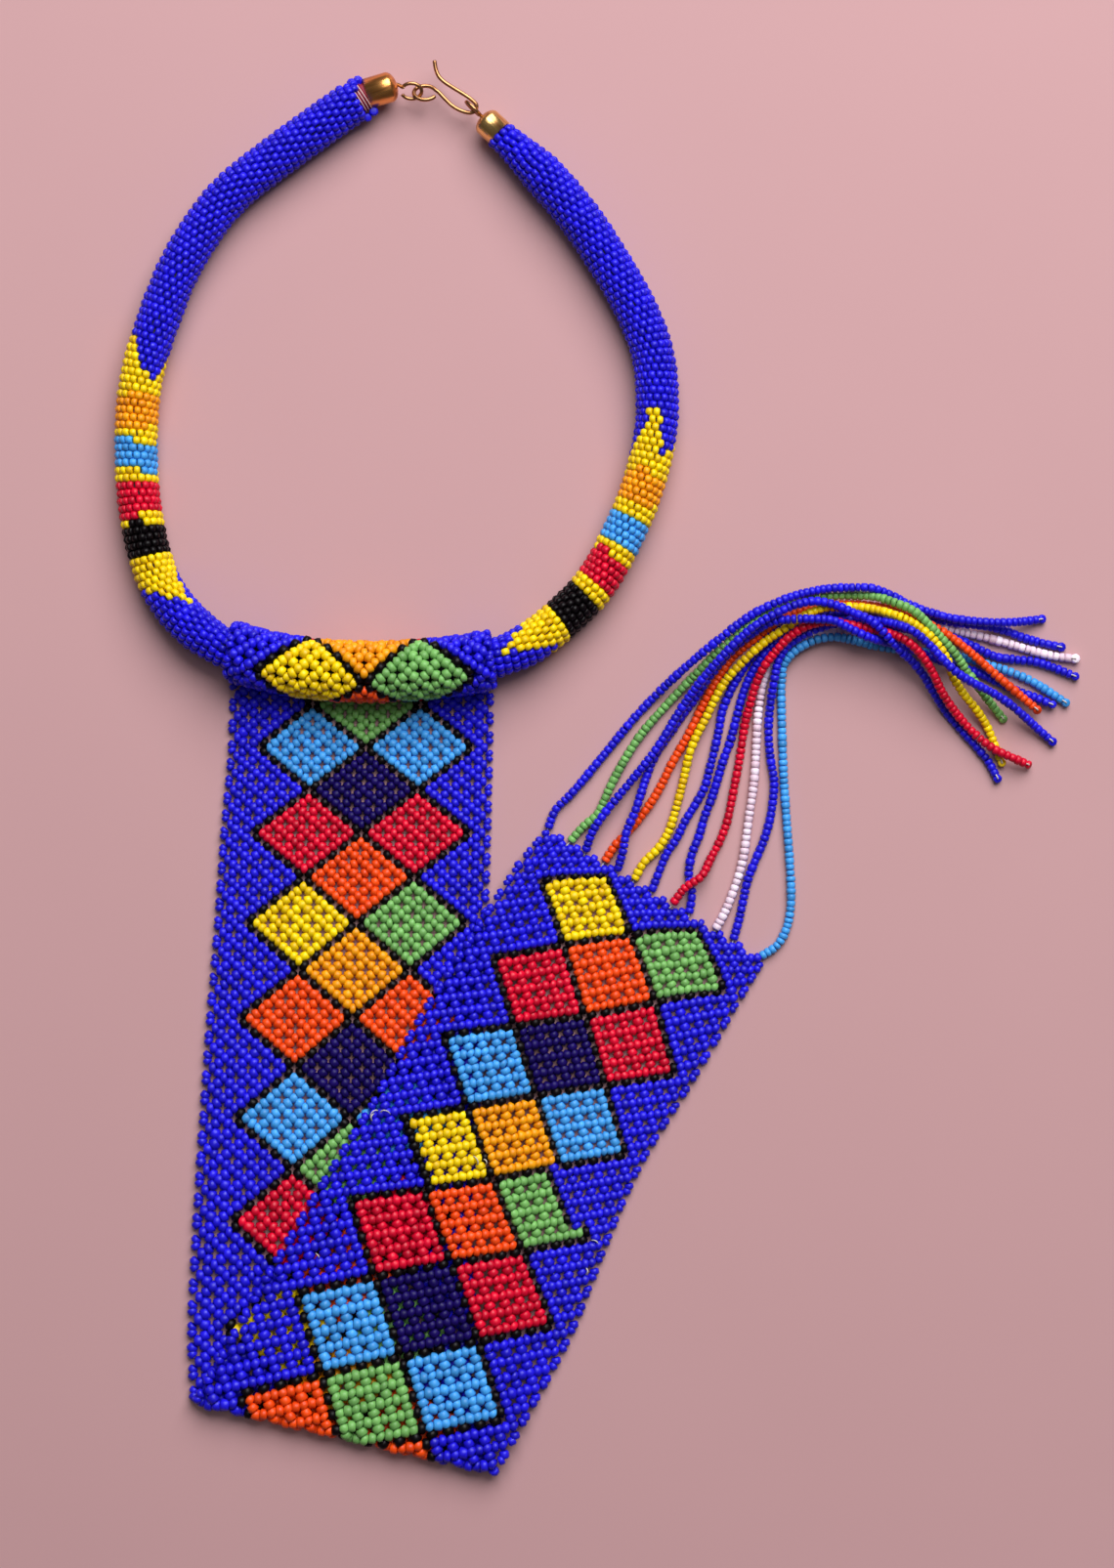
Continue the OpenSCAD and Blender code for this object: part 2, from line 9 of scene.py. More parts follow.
import bpy
import numpy as np
from bpy.props import FloatProperty, FloatVectorProperty, PointerProperty
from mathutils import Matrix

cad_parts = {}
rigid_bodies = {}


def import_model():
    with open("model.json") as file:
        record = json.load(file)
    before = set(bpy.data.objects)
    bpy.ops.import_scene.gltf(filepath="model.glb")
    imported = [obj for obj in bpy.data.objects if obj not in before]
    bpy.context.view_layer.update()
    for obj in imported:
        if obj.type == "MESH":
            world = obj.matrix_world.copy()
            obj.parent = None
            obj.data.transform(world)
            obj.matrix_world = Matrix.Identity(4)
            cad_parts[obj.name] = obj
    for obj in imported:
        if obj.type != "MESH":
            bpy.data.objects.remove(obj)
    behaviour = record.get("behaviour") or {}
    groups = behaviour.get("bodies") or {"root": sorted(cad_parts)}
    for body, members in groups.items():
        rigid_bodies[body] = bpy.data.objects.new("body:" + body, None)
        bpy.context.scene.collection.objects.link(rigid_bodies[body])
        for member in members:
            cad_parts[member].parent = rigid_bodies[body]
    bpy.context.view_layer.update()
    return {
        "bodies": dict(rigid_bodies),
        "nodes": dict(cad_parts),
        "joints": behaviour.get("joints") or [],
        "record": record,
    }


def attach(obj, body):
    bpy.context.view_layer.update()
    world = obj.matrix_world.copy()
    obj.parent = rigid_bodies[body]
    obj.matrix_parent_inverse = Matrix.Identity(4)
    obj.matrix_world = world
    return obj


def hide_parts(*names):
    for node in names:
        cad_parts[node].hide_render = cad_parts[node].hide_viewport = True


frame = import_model()

bl_info = {
    "name": "Beaded Tassel Necklace",
    "version": (1, 0, 0),
    "blender": (4, 5, 0),
    "location": "View3D > Sidebar > Necklace",
    "description": "Seed beads, thread and brass for a folded net necklace with a fringe",
    "category": "Add Mesh",
}

MM = 0.001
RIGHT = np.array([1.0, 0.0, 0.0])
TOWARDS_CLASP = np.array([0.0, 1.0, 0.0])
UP = np.array([0.0, 0.0, 1.0])

# Centre line of the collar tube on the floor, from the left cap's mouth round to the right cap's
COLLAR = [
    (-61, 179.5), (-66, 176.3), (-77, 168.5), (-87.5, 160.8), (-96, 154), (-103.2, 145.5), (-110.8, 133),
    (-116.5, 118.5), (-119.8, 108), (-121.5, 98), (-122, 86), (-121.5, 74), (-119.5, 61.5),
    (-116.5, 51.5), (-112.5, 44.5), (-106.5, 38), (-97, 32), (-80.5, 27.8), (-62.5, 26.2), (-44, 27),
    (-30, 29), (-19, 33), (-8.5, 41), (0, 50), (6.5, 61.5), (11.5, 73), (14.8, 84.5), (16.2, 96),
    (15.2, 109.5), (11, 121.5), (4, 134), (-5, 147.5), (-14.5, 158.5), (-20.2, 164), (-25.6, 169),
]
# The sleeve: the point of the centre line in its middle, half its width, how deep it squeezes the tube, how
# far past its ends the squeeze reaches and in what length it eases off, the gap between its beads and the
# tube, and the length in which the tube rises on each side of it
SLEEVE_POINT = 18
SLEEVE_HALF_W = 34.6
SLEEVE_SQUEEZE = 0.4
SQUEEZE_LEN = 11.0
SWELL_LEN = 8.0
SLEEVE_GAP = 0.35
RISE_LEN = 30.0
# Length and thickness of the thread binding at the left cap, thickness of the tube at the right cap, and
# the length in which it narrows to that
BINDING_LEN = 2.6
BINDING_D = 7.8
COLLAR_END_D = 8.6
TAPER_LEN = 18.0
# The beads' first row: how far it stands out past the binding, and the length in which the tube rounds out
START_STEP = 0.4
START_LEN = 2.0
# How far the collar's beads reach in under the sleeve's ends
UNDER_SLEEVE = 4.0

# The end caps: mouth, heading, outside diameter and length
LEFT_CAP = ((-61.0, 179.5), 17.0, 8.1, 8.6)
RIGHT_CAP = ((-25.6, 169.0), 136.5, 7.6, 6.7)
CAP_WALL = 0.6
# Height of a cap's dome in diameters, depth of its rounded lip, and room round the wire in its hole
CAP_DOME = 0.3
CAP_LIP = 0.12
CAP_ROOM = 0.12
CAP_RINGS = 17
CAP_SIDES = 96
# How much longer than wide the die's scores and the painted reflection streaks on a cap are
DRAWN_OUT = 9.0

# The band's middle line, laid out flat: row, x, y, half width to the left and to the right, turn
BAND = [
    (0, -62.4, 6.2, 34.6, 34.0, 0), (20, -63.7, -16.6, 35.4, 34.7, 0), (40, -65.0, -40.6, 35.7, 35.2, 0),
    (60, -66.8, -66.0, 36.0, 35.8, 0), (80, -68.4, -92.6, 36.2, 36.2, 0),
    (100, -69.7, -120.1, 36.6, 36.6, 0), (120, -70.5, -149.0, 37.2, 37.5, 0),
    (140, -67.5, -175.5, 39.0, 38.7, 3),
    (160, -64.0, -204.8, 40.7, 37.3, 5), (180, -63.0, -233.0, 39.5, 37.5, 6),
    (200, -62.8, -258.0, 37.3, 35.2, 6), (220, -62.4, -282.8, 36.6, 33.6, 7),
    (240, -60.0, -307.5, 36.4, 33.4, 6.5), (260, -58.7, -332.0, 34.9, 33.8, 4.7),
    (272, -58.0, -344.5, 32.8, 34.2, 4.7),
]
# Rows from line to line of the table but for its last, and how far the edge lies outside the rim's column
BAND_STEP = 20
LAST_ROW = 272
BAND_RIM = 0.8
# The fold: two points of its line, the radius of its roll, the gap between the layers, and the length in
# which the upper layer comes down from the roll
FOLD_LEFT = (-107.9, -168.5)
FOLD_RIGHT = (-24.7, -188.0)
FOLD_R = 2.0
LAYER_GAP = 0.5
SETTLE_LEN = 26.0
# The upper layer comes down beside the lower one: where this starts past its edge, over what length, and
# the last row of the lower layer that it rests on
DROP_START = 4.0
DROP_LEN = 16.0
LOWER_END = 150
SEAM_ANGLE = 222.0

# Rows of the net round the tube, and the angle of each: the seam, the top, the neck side, the bottom
UNDER_ROW = -18.0
SLEEVE_TURN = ([-51.0, -40.0, -30.0, UNDER_ROW], [SEAM_ANGLE, 118.0, 4.0, -90.0])

# Fringe strands: glass, laying order up to the bend and beyond it, share of the way along the band's end,
# and the route as listed points
FRINGE = [
    ("blue", 12, 7, 0.01, [(-10.5, -10), (-6, -5.5), (1.5, 3.5), (11.5, 15.5), (21.5, 25.5), (31.5, 34),
        (41.5, 41.5), (51.5, 46), (59.5, 48), (66.5, 48.5), (74.5, 48), (84.5, 43.5), (94.5, 40.5),
        (103.5, 39.5), (111, 39.5), (119, 40.5)]),
    ("green", 10, 9, 0.11, [(-4.5, -15.8), (-2, -13.8), (0.6, -11.3), (3, -6), (6.5, 1), (11.5, 9),
        (16.5, 15), (21.5, 20.5), (26.5, 25.8), (32.5, 32), (39.5, 38), (45.5, 41.8), (52, 44.8),
        (59, 46.4), (65.5, 46.5), (72, 46.5), (78.5, 44.5), (84, 42), (88.5, 38),
        (95.5, 30.5), (100.5, 23.5), (108, 14.5)]),
    ("blue", 11, 6, 0.18, [(-1, -16.3), (2.5, -11), (9.5, -2.5), (16.5, 6.5), (22, 15.5), (27.5, 23.5),
        (34.5, 31.5), (41.5, 38), (49.5, 42.5), (55.5, 44.5), (61, 44.5), (69.5, 41), (74, 38.5),
        (78.5, 33.5), (86, 26.5), (93.5, 15.5), (103.5, 4), (107, -2)]),
    ("orange", 6, 8, 0.265, [(5, -20), (7.5, -17.5), (12.5, -11.5), (16.5, -5.5), (20.5, 2.5), (24.5, 9.5),
        (28.5, 17.5), (32.5, 24.5), (36.5, 30.5), (41.5, 34.5), (48, 39.6), (54, 42.4), (60, 43.8),
        (66, 44.3), (75, 43.5), (87, 39.5), (95.5, 34.5), (107.5, 24.5), (117.5, 16)]),
    ("blue", 9, 2, 0.325, [(7, -22), (8, -16.5), (10.5, -10.5), (12.5, -4.5), (15.5, 3.5), (21.5, 12.5),
        (26.5, 19.5), (30.5, 25.5), (35.5, 31.5), (41.5, 36.5), (47, 39.5), (55.5, 40), (63, 39.5),
        (71, 35.5), (82, 33), (92.5, 29), (99.5, 27), (112, 21.5), (122, 17.5)]),
    ("yellow", 7, 10, 0.4, [(12.3, -25), (15.5, -22), (19, -17), (21.5, -9.5), (23.5, -1.5), (25.5, 6.5),
        (29.5, 14.5), (33.5, 22.5), (38.5, 28.5), (44.5, 34), (50.5, 38), (58, 42.5), (67.5, 43.5),
        (76, 42), (85, 38), (91.5, 31.5), (95.5, 23), (103.5, 13), (108, 2.5)]),
    ("blue", 4, 5, 0.48, [(16.6, -27.5), (18, -23.5), (21, -19), (24.5, -12), (28.5, -5.5), (30.5, 1.5),
        (32.5, 9.5), (33.5, 15.5), (36, 21.5), (40, 28.5), (44.5, 34.5), (50, 38.6), (56, 40.8), (62, 41.6),
        (70, 42.8), (79.5, 43.6), (87, 41.5), (95, 39.5), (107, 38), (115.5, 35), (124, 33)]),
    ("red", 8, 12, 0.575, [(22.8, -31.8), (25.5, -30), (28.5, -27.5), (30.5, -23.5), (34, -16.5),
        (35.5, -11), (37, -3.5), (38.5, 4.5), (39.5, 11.5), (41.5, 19.5), (44.5, 27.5), (52.5, 36.5),
        (61, 39.5), (70, 38), (79.5, 35.5), (87, 29), (93.5, 18), (104, 7), (115.5, 1.5)]),
    ("blue", 3, 4, 0.65, [(25.6, -33), (24.8, -30), (25, -24), (27, -19), (28.5, -13.5), (31.5, -5.5),
        (33.5, 1.5), (36, 8.5), (37.5, 14.5), (39.5, 21.5), (42, 27), (46, 32.5), (51, 36.6), (56, 38.4),
        (62, 39.1), (70, 38.9), (79.5, 38), (95, 35.5), (106.5, 30.5), (117.5, 29), (127, 25.5)]),
    ("white", 1, 3, 0.77, [(34.2, -38), (35.3, -35.5), (37, -31), (39, -24.5), (40, -18), (41, -10.5),
        (42, -4), (42.5, 2.5), (43, 12.5), (43.5, 17.5), (45, 25), (49, 31.6), (54, 35.2), (60, 36.7),
        (67, 37.6), (75.5, 39.5), (83, 40.5), (93.5, 38), (106, 35), (120, 31), (127, 30)]),
    ("blue", 5, 11, 0.85, [(38, -40.3), (38.3, -38), (39.5, -33.5), (40.5, -29), (42, -25), (44, -20.5),
        (46, -14.5), (47, -9), (47.5, -3.5), (46.5, 3.5), (46, 11.5), (47, 22), (49.5, 31.5), (56, 36.5),
        (67, 40), (76, 39.5), (85, 35.5), (95.5, 25.5), (108.5, 18.5), (122, 7.5)]),
    ("sky", 2, 1, 0.975, [(47, -47.6), (49.5, -45), (51.2, -40.5), (52, -34.5), (51.7, -25), (50.8, -13),
        (50, -1), (49.5, 14), (49.5, 24.5), (50.5, 29.5), (53, 32), (59, 35), (65.5, 35.5),
        (73.5, 33.5), (88.5, 31.5), (97, 30.5), (108.5, 27), (116, 24), (125.5, 18)]),
]
# A strand's thickness when it is laid, the distance between the middles of two that cross, the steepest
# rise, and the steps along a strand with the checks in each
STRAND_D = 2.2
STRAND_PITCH = 2.45
STRAND_SLOPE = 0.36
STRAND_RINGS = 30
CHECKS_PER_RING = 4
# Gap between the band's edge and the start of a strand
ATTACH_GAP = 0.8
# The stop bead at a strand's tip: its distance past the row in radii, its lean, how far it sits askew,
# and the thread's radius
STOP_SHIFT = 0.75
STOP_LEAN = 0.45
STOP_ASKEW = 0.25
KNOT_THREAD = 0.2
KNOT_SIDES = 6
# Heights of the knot's thread: over the middle and the end of the last bead, in radii, and then twice over
# the stop bead, in bead lengths
KNOT_RISE = (0.285, 0.95, 0.66, 0.275)
KNOT_STEPS = 5
# Length of thread that runs from a strand's first bead into the net
LINK_LEN = 1.6
# Added to the sweep's reference direction, so that no stretch of the thread lies exactly along it
OFF_PLANE = 0.01

# The hook's wire after its closed loop: shank, bend round the right eye, return arm and tip
HOOK = [
    (-41.7, 180.0, 5.5), (-40.1, 178.3, 5.5), (-38.2, 176.5, 5.5), (-35.9, 175.2, 5.5), (-33.5, 174.6, 5.6),
    (-32.1, 175.2, 5.9), (-31.8, 176.6, 6.3), (-33.3, 178.1, 6.5), (-35.2, 179.4, 6.5),
    (-38.1, 181.2, 6.4), (-40.2, 182.6, 6.3), (-41.7, 184.1, 6.3), (-42.5, 186.0, 6.4), (-42.9, 188.3, 6.6),
]
# Middle and two half widths of the hook's loop and of the left eye, how far both tilt, and the two half
# widths of the right eye
HOOK_LOOP = ((-45.4, 179.9, 5.7), 2.96, 2.3)
LEFT_EYE = ((-49.0, 180.3, 5.9), 2.7, 2.1)
LOOP_TILT = 27.0
RIGHT_EYE = (2.5, 1.8)
# How far the right eye stands out of its cap
RIGHT_EYE_OUT = 0.5
# Where the straight start of each eye's wire begins and ends, from its cap's end
LEFT_STEM = (-1.4, 0.1)
RIGHT_STEM = (-1.4, 0.0)
# Angles at which the turns of the left eye, the right eye and the hook's loop start and end
LEFT_TURN = (150, -156)
RIGHT_TURN = (152, -152)
LOOP_TURN = (-28, -325)
WIRE_STEPS = 40
WIRE_SIDES = 20
# Share of a wire's thickness that is left at its cut ends
WIRE_TIP = 0.8

# Diamonds of the net: row of the middle, then the glass. Two side by side, and single ones between
PAIRS = [
    (-40, "yellow", "green"), (-20, "red", "red"), (0, "sky", "sky"), (20, "red", "red"),
    (40, "yellow", "green"), (60, "orange", "orange"), (80, "sky", "sky"), (100, "red", "red"),
    (120, "yellow", "green"), (140, "orange", "orange"), (160, "sky", "sky"), (180, "red", "red"),
    (200, "yellow", "green"), (220, "sky", "sky"), (240, "red", "red"), (260, "yellow", "green"),
]
SINGLES = [
    (-50, "orange"), (-30, "amber"), (-10, "green"), (10, "navy"), (30, "orange"), (50, "amber"),
    (70, "navy"), (90, "green"), (110, "orange"), (130, "amber"), (150, "green"), (170, "navy"),
    (190, "orange"), (210, "amber"), (230, "navy"), (250, "orange"),
]
# Beads along a diamond's side, and rows from a pair of diamonds to the next single one
DIAMOND = 10
# Slips of the beader's hand in two diamonds: first and last i, first and last j, and the glass there
SLIPS = [
    (-110, -100, 90, 90, "blue"), (-110, -100, 91, 91, "black"),
    (-100, -92, 109, 110, "blue"), (-100, -92, 108, 108, "black"),
]
# Columns of the net's two rims. The diamonds' middle column is 0, which is not quite half way
LEFT_RIM = -25
RIGHT_RIM = 23
# Rows, and how far the middle column lies to the right of the strip's middle line there
LEAN = ([-20, 40, 60, 80, 95, 110, 130, 150, 170, 272], [1.1, 1.1, 1.9, 2.8, 3.4, 3.0, 1.7, 1.0, 0.4, 0.2])
# Rows, and how much wider than the even spacing the columns at the left rim lie there
LOOSE_RIM = ([60, 100, 140, 170], [0.0, 0.12, 0.12, 0.0])

# Stripes of the collar: the glass that starts at each edge, and the edge as (angle round the tube from the
# neck side over the top, distance from the left cap)
STRIPES = [
    ("blue", [(0, -20)]),
    ("yellow", [(0, 94), (20, 96.5), (31, 98.7), (51, 100.2), (72, 98.4), (94, 95.3), (130, 91.2),
                (160, 89.2), (230, 84.5), (300, 89.5)]),
    ("amber", [(0, 104.6)]),
    ("yellow", [(0, 112.9)]),
    ("sky", [(0, 117.6), (84, 117.2), (88, 114.9), (180, 115), (355, 115.2)]),
    ("yellow", [(0, 125.8), (60, 125.4), (64, 123.2), (180, 123), (355, 123.4)]),
    ("red", [(0, 128.0)]),
    ("yellow", [(0, 136.4)]),
    ("black", [(0, 140.8), (72, 140.2), (76, 138.2), (180, 138.4), (355, 138.6)]),
    ("yellow", [(0, 147.2)]),
    ("blue", [(0, 151), (12, 154), (22, 160.9), (35, 165.5), (70, 161.7), (106, 158.7), (134, 156.4),
              (180, 155), (240, 152), (300, 150)]),
    ("yellow", [(0, 265.5), (33, 261), (52, 257.2), (77, 253.8), (90, 256.7), (103, 260.8), (117, 264.1),
                (138, 267.6), (180, 266.1), (235, 262), (300, 266)]),
    ("black", [(0, 272.2)]),
    ("yellow", [(0, 281.6)]),
    ("red", [(0, 286.2)]),
    ("yellow", [(0, 295.2), (82, 295.2), (86, 293.4), (355, 293.6)]),
    ("sky", [(0, 297.6)]),
    ("yellow", [(0, 305.7)]),
    ("amber", [(0, 310.4)]),
    ("yellow", [(0, 317), (55, 317), (62, 319), (108, 318.8), (115, 317)]),
    ("blue", [(0, 321), (27, 325.2), (42, 329), (57, 333.2), (70, 337.2), (87, 334.5), (104, 332),
              (112, 329.4), (114, 325.3), (120, 322.1), (139, 324.7), (164, 326.7), (250, 332), (320, 323)]),
]

GLASSES = ["blue", "navy", "sky", "yellow", "amber", "orange", "red", "green", "black", "white"]
DARK_GLASSES = ["navy", "black"]

# Profiles as share of the half length and share of the radius. The ends of a bead lie in, as its hole does
BEAD_PROFILE = [(-0.5, 0.0), (-1.0, 0.7), (-0.62, 0.99), (0.62, 0.99), (1.0, 0.7), (0.5, 0.0)]
ROUND_PROFILE = [
    (-0.5, 0.0), (-1.0, 0.58), (-0.72, 0.9), (0.0, 1.0), (0.72, 0.9), (1.0, 0.58), (0.5, 0.0),
]
BEAD_SIDES = 8
THREAD_PROFILE = [(-1.0, 0.0), (-1.0, 1.0), (1.0, 1.0), (1.0, 0.0)]
THREAD_SIDES = 3
# Cut beads differ more in length than in diameter, by this factor
LENGTH_UNEVEN = 2.0
# No bead strays further than this from the mean, in standard deviations
STRAY = 2
# The usual tone of a bead from 0 to 1, and how far the tones stray from it
TONE = (0.5, 0.2)
# How much brighter than their own colour the threads' palest patches are painted, as a painted sheen
NET_THREAD_SHEEN = 1.05
CORD_SHEEN = 1.4
BINDING_SHEEN = 2.6
PALE_SHEEN = 1.1
# Seeds of the small differences between beads. A strand adds its number to the fringe's seed
COLLAR_SEED = 11
SLEEVE_SEED = 23
BAND_SEED = 37
FRINGE_SEED = 50

# The collar's spiral row: its angle at the left cap, where it starts past the binding, how far it and the
# core stop short of the right end, and the steps in which its beads are counted
SPIRAL_START = 60.0
FIRST_BEAD = 0.9
END_IN = 0.2
SPIRAL_STEPS = 8000
# The collar's core: where it starts past the binding, and its rings and sides
CORE_START = 0.3
CORE_RINGS = 260
CORE_SIDES = 24
# Beads that crowd over the binding on the side away from the neck, and two loose ones on the neck's side:
# angle, distance from the left cap's mouth, and distance of their outside from the tube's middle
CROWD = [
    (118, 2.3, 5.6), (139, 1.8, 5.7), (159, 1.7, 5.7), (180, 1.8, 5.8), (200, 1.8, 5.8), (221, 1.8, 5.7),
    (150, 0.3, 5.4), (171, -0.1, 5.4), (191, -0.1, 5.4), (212, 0.0, 5.3), (-12, 2.9, 6.6), (-6, 0.7, 6.1),
]

# How far the net's beads lie above or below its middle, and how far they stray from that
NET_RIDE = 0.05
NET_JITTER = 0.08
# The two beads of each turn of the thread on the rims: rows from turn to turn, rows from a turn's middle
# to each bead, how far they fan out, and size
RIM_PERIOD = 4
RIM_DRAWN = 0.58
RIM_FAN = 0.7
RIM_SMALL = 0.86
# How far a bead on the thread leans from across towards the slant of its thread, which is 1
BEAD_LEAN = 0.6
# Usual distance from lattice place to lattice place, the mean of across and along
NET_CELL = 1.38
# The smallest and the biggest beads of the net's batch, as a share of the usual size
NET_BATCH = (0.9, 1.12)
# Half the length of a thread piece, which runs through a bead and into the beads on both sides
THREAD_HALF = 1.9

# Where the strands change from one laying order to the other, past the crown of their bend
BEND_X = (70.0, 84.0)
# How much the lengths of a strand's beads stray from the mean, as a share
STRAND_UNEVEN = 0.09

# Thread tails that stick out of the net's upper layer: place, heading in degrees, length and curl
TAILS = [
    ((-58.0, -90.2), 152.0, 3.2, 0.5), ((-57.2, -90.6), 60.0, 2.6, -0.4), ((-59.0, -91.0), 205.0, 2.0, 0.3),
    ((-31.5, -104.6), 62.0, 2.6, 0.3), ((-29.8, -103.2), 15.0, 1.6, -0.5), ((0.4, -126.0), 80.0, 2.0, 0.4),
    ((-2.6, -132.4), 320.0, 1.8, -0.3), ((-73.6, -129.4), 70.0, 1.6, 0.3),
]
# How far a tail starts below the beads' tops, and how high it rises from there
TAIL_SUNK = 0.3
TAIL_RISE = 0.9
# Share by which a tail narrows to its tip, and points along it
TAIL_TAPER = 0.4
TAIL_POINTS = 9

# The binding's bare core: two depths inside the left cap, two distances along the collar, and the room
# between it and the cap's wall
BARE_IN = (4.6, 0.4)
BARE_ON = (0.4, BINDING_LEN + 0.4)
BARE_ROOM = 0.35
BARE_SIDES = 48
# The windings of dark red thread and of the pale lines over it: first and last distance along the collar,
# and turns
RED_WOUND = (0.3, BINDING_LEN + 0.2, 6)
PALE_WOUND = (0.7, BINDING_LEN + 1.3, 4)
# How far the pale coil's middle lies outside the binding, in its radii
PALE_RIDE = 0.8
# Steps in one turn of wound thread, and sides of the thread
COIL_STEPS = 40
COIL_SIDES = 8

# Places of the two lights in metres and their diameters in millimetres
KEY_AT = (0.28, 1.0, 1.14)
KEY_SIZE = 1500.0
CEILING_AT = (0.0, 0.35, 2.9)
CEILING_SIZE = 900.0
# Colour of the light from all round, and how far the floor reaches each way
ROOM_WHITE = (1.0, 0.97, 0.95, 1.0)
FLOOR_REACH = 4000.0
# The point of the floor that the camera looks down on, its sensor's width, and its reach in metres
CAMERA_OVER = (-10.4, -3.5)
CAMERA_SENSOR = 36.0
CAMERA_FAR = 20.0


def half_mm(size):
    """Half of a size in metres, in millimetres."""
    return size / MM / 2


def full_turn(sides):
    """Angles spaced evenly round a full turn."""
    return 2 * math.pi * np.arange(sides) / sides


def unit(v):
    """Vectors made one long, row by row."""
    return v / np.linalg.norm(v, axis=-1, keepdims=True)


def smooth(x):
    """Ease from 0 to 1: three times the square less twice the cube, held at both ends."""
    t = np.clip(x, 0.0, 1.0)
    return t * t * (3 - 2 * t)


def mix(a, b, t):
    """The value a share t of the way from a to b."""
    return a + (b - a) * t


def spline(points, t):
    """Cubic curve through the points. Its slope at each is half the step between the neighbours."""
    i = np.clip(np.floor(t).astype(int), 0, len(points) - 2)
    f = (t - i)[:, None]
    b = points[i]
    c = points[i + 1]
    a = np.where((i > 0)[:, None], points[np.maximum(i - 1, 0)], 2 * b - c)
    d = np.where((i < len(points) - 2)[:, None], points[np.minimum(i + 2, len(points) - 1)], 2 * c - b)
    return b + f * ((c - a) / 2 + f * (a - 2.5 * b + 2 * c - d / 2 + f * (1.5 * (b - c) + (d - a) / 2)))


class Curve:
    """A curve walked by its length, which is the running sum of the short chords it is cut into."""

    def __init__(self, points, chords):
        self.points = np.array(points, float)
        self.t = np.arange((len(points) - 1) * chords + 1) / chords
        steps = np.diff(spline(self.points, self.t), axis=0)
        self.s = np.append(0.0, np.cumsum(np.linalg.norm(steps, axis=1)))
        self.length = self.s[-1]

    def at(self, s):
        """Points of the curve at the distances s along it."""
        return spline(self.points, np.interp(s, self.s, self.t))


COLLAR_CURVE = Curve(COLLAR, chords=8)
SLEEVE_S = np.interp(SLEEVE_POINT, COLLAR_CURVE.t, COLLAR_CURVE.s)


def collar_sizes(context):
    """The collar's radius and the radius of one bead, in millimetres."""
    collar = context.scene.necklace_collar
    return half_mm(collar.tube_diameter), half_mm(context.scene.necklace_glass.bead_diameter)


class Collar:
    """The tube's middle line and thickness. It lies on the floor and rises on the sleeve at the front."""

    def __init__(self, context):
        self.r, self.bead_r = collar_sizes(context)
        self.lift = 2 * self.bead_r + SLEEVE_GAP - SLEEVE_SQUEEZE
        self.sleeve_r = self.r - SLEEVE_SQUEEZE + SLEEVE_GAP + self.bead_r

    def at(self, s):
        """The middle line at the distances s, raised by an ease on each side of the sleeve."""
        rise = smooth((SLEEVE_HALF_W + RISE_LEN - np.abs(s - SLEEVE_S)) / RISE_LEN)
        return np.column_stack([COLLAR_CURVE.at(s), self.r + self.lift * rise])

    def frame(self, s):
        """Directions along the tube, by places a millimetre each way, level towards the neck, and up."""
        along = unit(self.at(s + 1) - self.at(s - 1))
        side = unit(np.cross(UP, along))
        return along, side, np.cross(along, side)

    def radius(self, s):
        """Half the tube's thickness: squeezed under the sleeve, and narrowed towards both ends.

        The left end rounds out as a quarter of an ellipse, and the right one narrows by an ease.
        """
        left = s - BINDING_LEN
        right = COLLAR_CURVE.length - s
        squeeze = smooth((SLEEVE_HALF_W + SQUEEZE_LEN - np.abs(s - SLEEVE_S)) / SWELL_LEN)
        rounded = np.sqrt(1 - np.clip(1 - left / START_LEN, 0, 1) ** 2)
        start = mix(BINDING_D / 2 + START_STEP, self.r, rounded)
        end = mix(COLLAR_END_D / 2, self.r, smooth(right / TAPER_LEN))
        return np.minimum(np.minimum(start, end), self.r - SLEEVE_SQUEEZE * squeeze)


